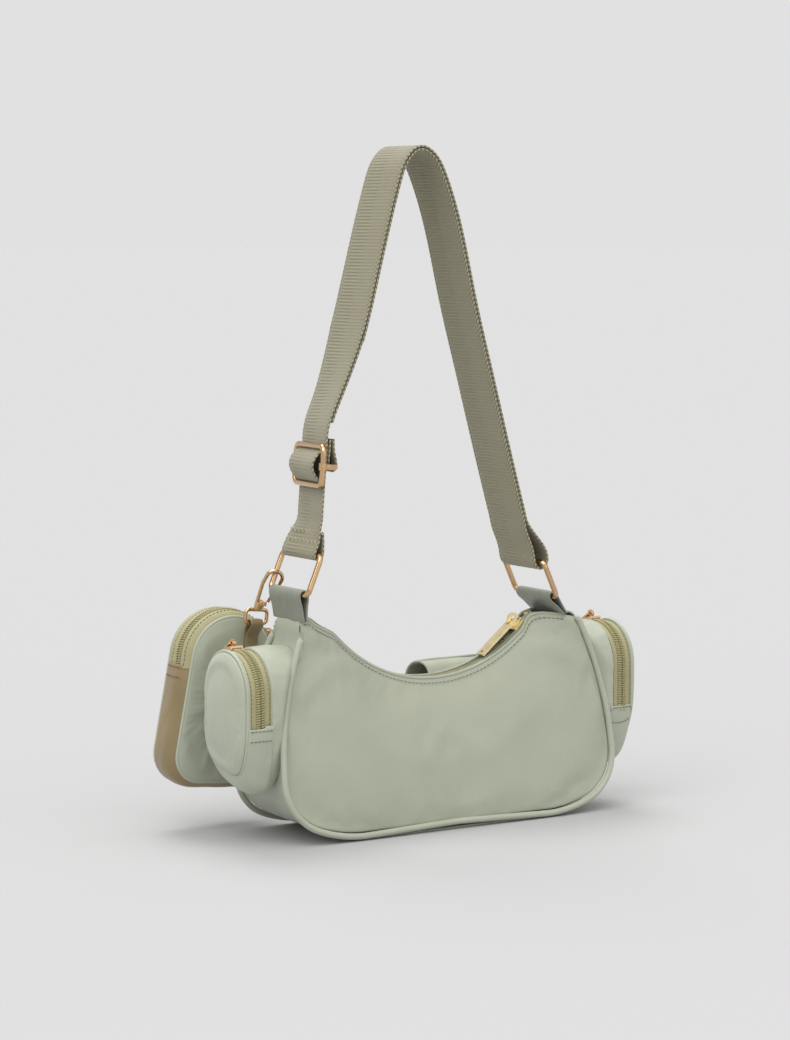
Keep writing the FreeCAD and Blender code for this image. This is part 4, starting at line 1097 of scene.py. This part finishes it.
# ---- metal ----
def make_metal():
    groups = {"gold": ["left_ring", "right_ring", "adjuster_frame", "adjuster_bar", "snap_hook", "swivel_eye",
                       "left_pocket_slider", "left_pocket_pull", "right_pocket_slider", "right_pocket_pull",
                       "pouch_slider", "pouch_pull"],
              "bronze": ["hook_gate"], "brass": ["main_slider", "main_pull", "main_zip_stops"],
              "steel": ["snap_cap", "snap_socket"]}
    for kind, members in groups.items():
        for node in members:
            dress(node, kind)


# ---- studio ----
FLOOR = 0.468                  # paper tone that meets the world's backdrop at the horizon
BACKDROP = 0.753
LENS, AZIMUTH, ELEVATION, DISTANCE = 103.85, -32, 5.5, 1.878
TARGET = Vector((-0.025, 0.0, 0.1928))


def make_studio():
    world = bpy.data.worlds.new("studio")
    scene.world = world
    world.use_nodes = True
    tree = world.node_tree
    sky = tree.nodes["Background"]
    at = tree.nodes.new("ShaderNodeTexCoord")
    split = tree.nodes.new("ShaderNodeSeparateXYZ")
    ramp = tree.nodes.new("ShaderNodeValToRGB")
    tree.links.new(at.outputs["Generated"], split.inputs[0])
    tree.links.new(split.outputs[2], ramp.inputs[0])
    tree.links.new(ramp.outputs[0], sky.inputs[0])
    stops = ((0.0, BACKDROP), (0.22, BACKDROP), (0.34, 0.50), (0.62, 0.55), (0.80, 1.25), (1.0, 1.35))
    while len(ramp.color_ramp.elements) < len(stops):
        ramp.color_ramp.elements.new(0.5)
    for element, (height, level) in zip(ramp.color_ramp.elements, stops):
        element.position = height
        element.color = (level, level, level, 1.0)

    mesh = bpy.data.meshes.new("studio_floor")
    mesh.from_pydata([(-60, -60, 0), (60, -60, 0), (60, 60, 0), (-60, 60, 0)], [], [(0, 1, 2, 3)])
    floor = bpy.data.objects.new("studio_floor", mesh)
    scene.collection.objects.link(floor)
    g = Graph("studio_paper")
    cloud = g.noise(0.4, 1.0)
    paper = rgba(FLOOR, FLOOR, FLOOR)
    tone = g.mix(cloud, paper, shade(paper, 1.002))
    g.finish(tone, None, None, Roughness=1.0, Specular_IOR_Level=0.0)
    mesh.materials.append(g.material)

    def towards(azimuth, elevation):
        """Direction from the bag; azimuth 0 is the front and 90 the bag's right."""
        a, e = radians(azimuth), radians(elevation)
        return Vector((sin(a) * cos(e), -cos(a) * cos(e), sin(e)))

    def sun(name, azimuth, elevation, strength, spread):
        light = bpy.data.lights.new(name, "SUN")
        light.energy = strength
        light.angle = radians(spread)
        made = bpy.data.objects.new(name, light)
        made.rotation_euler = towards(azimuth, elevation).to_track_quat("Z", "Y").to_euler()
        scene.collection.objects.link(made)

    sun("key", -62, 48, 1.15, 50)
    sun("fill", 12, 30, 0.55, 70)
    sun("back", 165, 60, 1.2, 30)
    scene.view_settings.view_transform = "Standard"
    scene.view_settings.look = "None"

    camera = bpy.data.cameras.new("camera")
    camera.lens = LENS
    camera.sensor_width = 36.0
    camera.dof.use_dof = False
    made = bpy.data.objects.new("camera", camera)
    back = towards(AZIMUTH, ELEVATION)
    made.location = TARGET + back * DISTANCE
    made.rotation_mode = "QUATERNION"
    made.rotation_quaternion = back.to_track_quat("Z", "Y")
    scene.collection.objects.link(made)
    scene.camera = made


make_studio()
make_bag()
make_main_zip()
make_pocket("left", -1)
make_pocket("right", 1)
make_flap_pocket()
make_strap()
make_tab("left_tab", -1, LEFT_RING[0], V(-101, 0, 138.2))
make_tab("right_tab", 1, RIGHT_RING[0], V(91.5, 0, 129.6))
make_pouch()
make_metal()
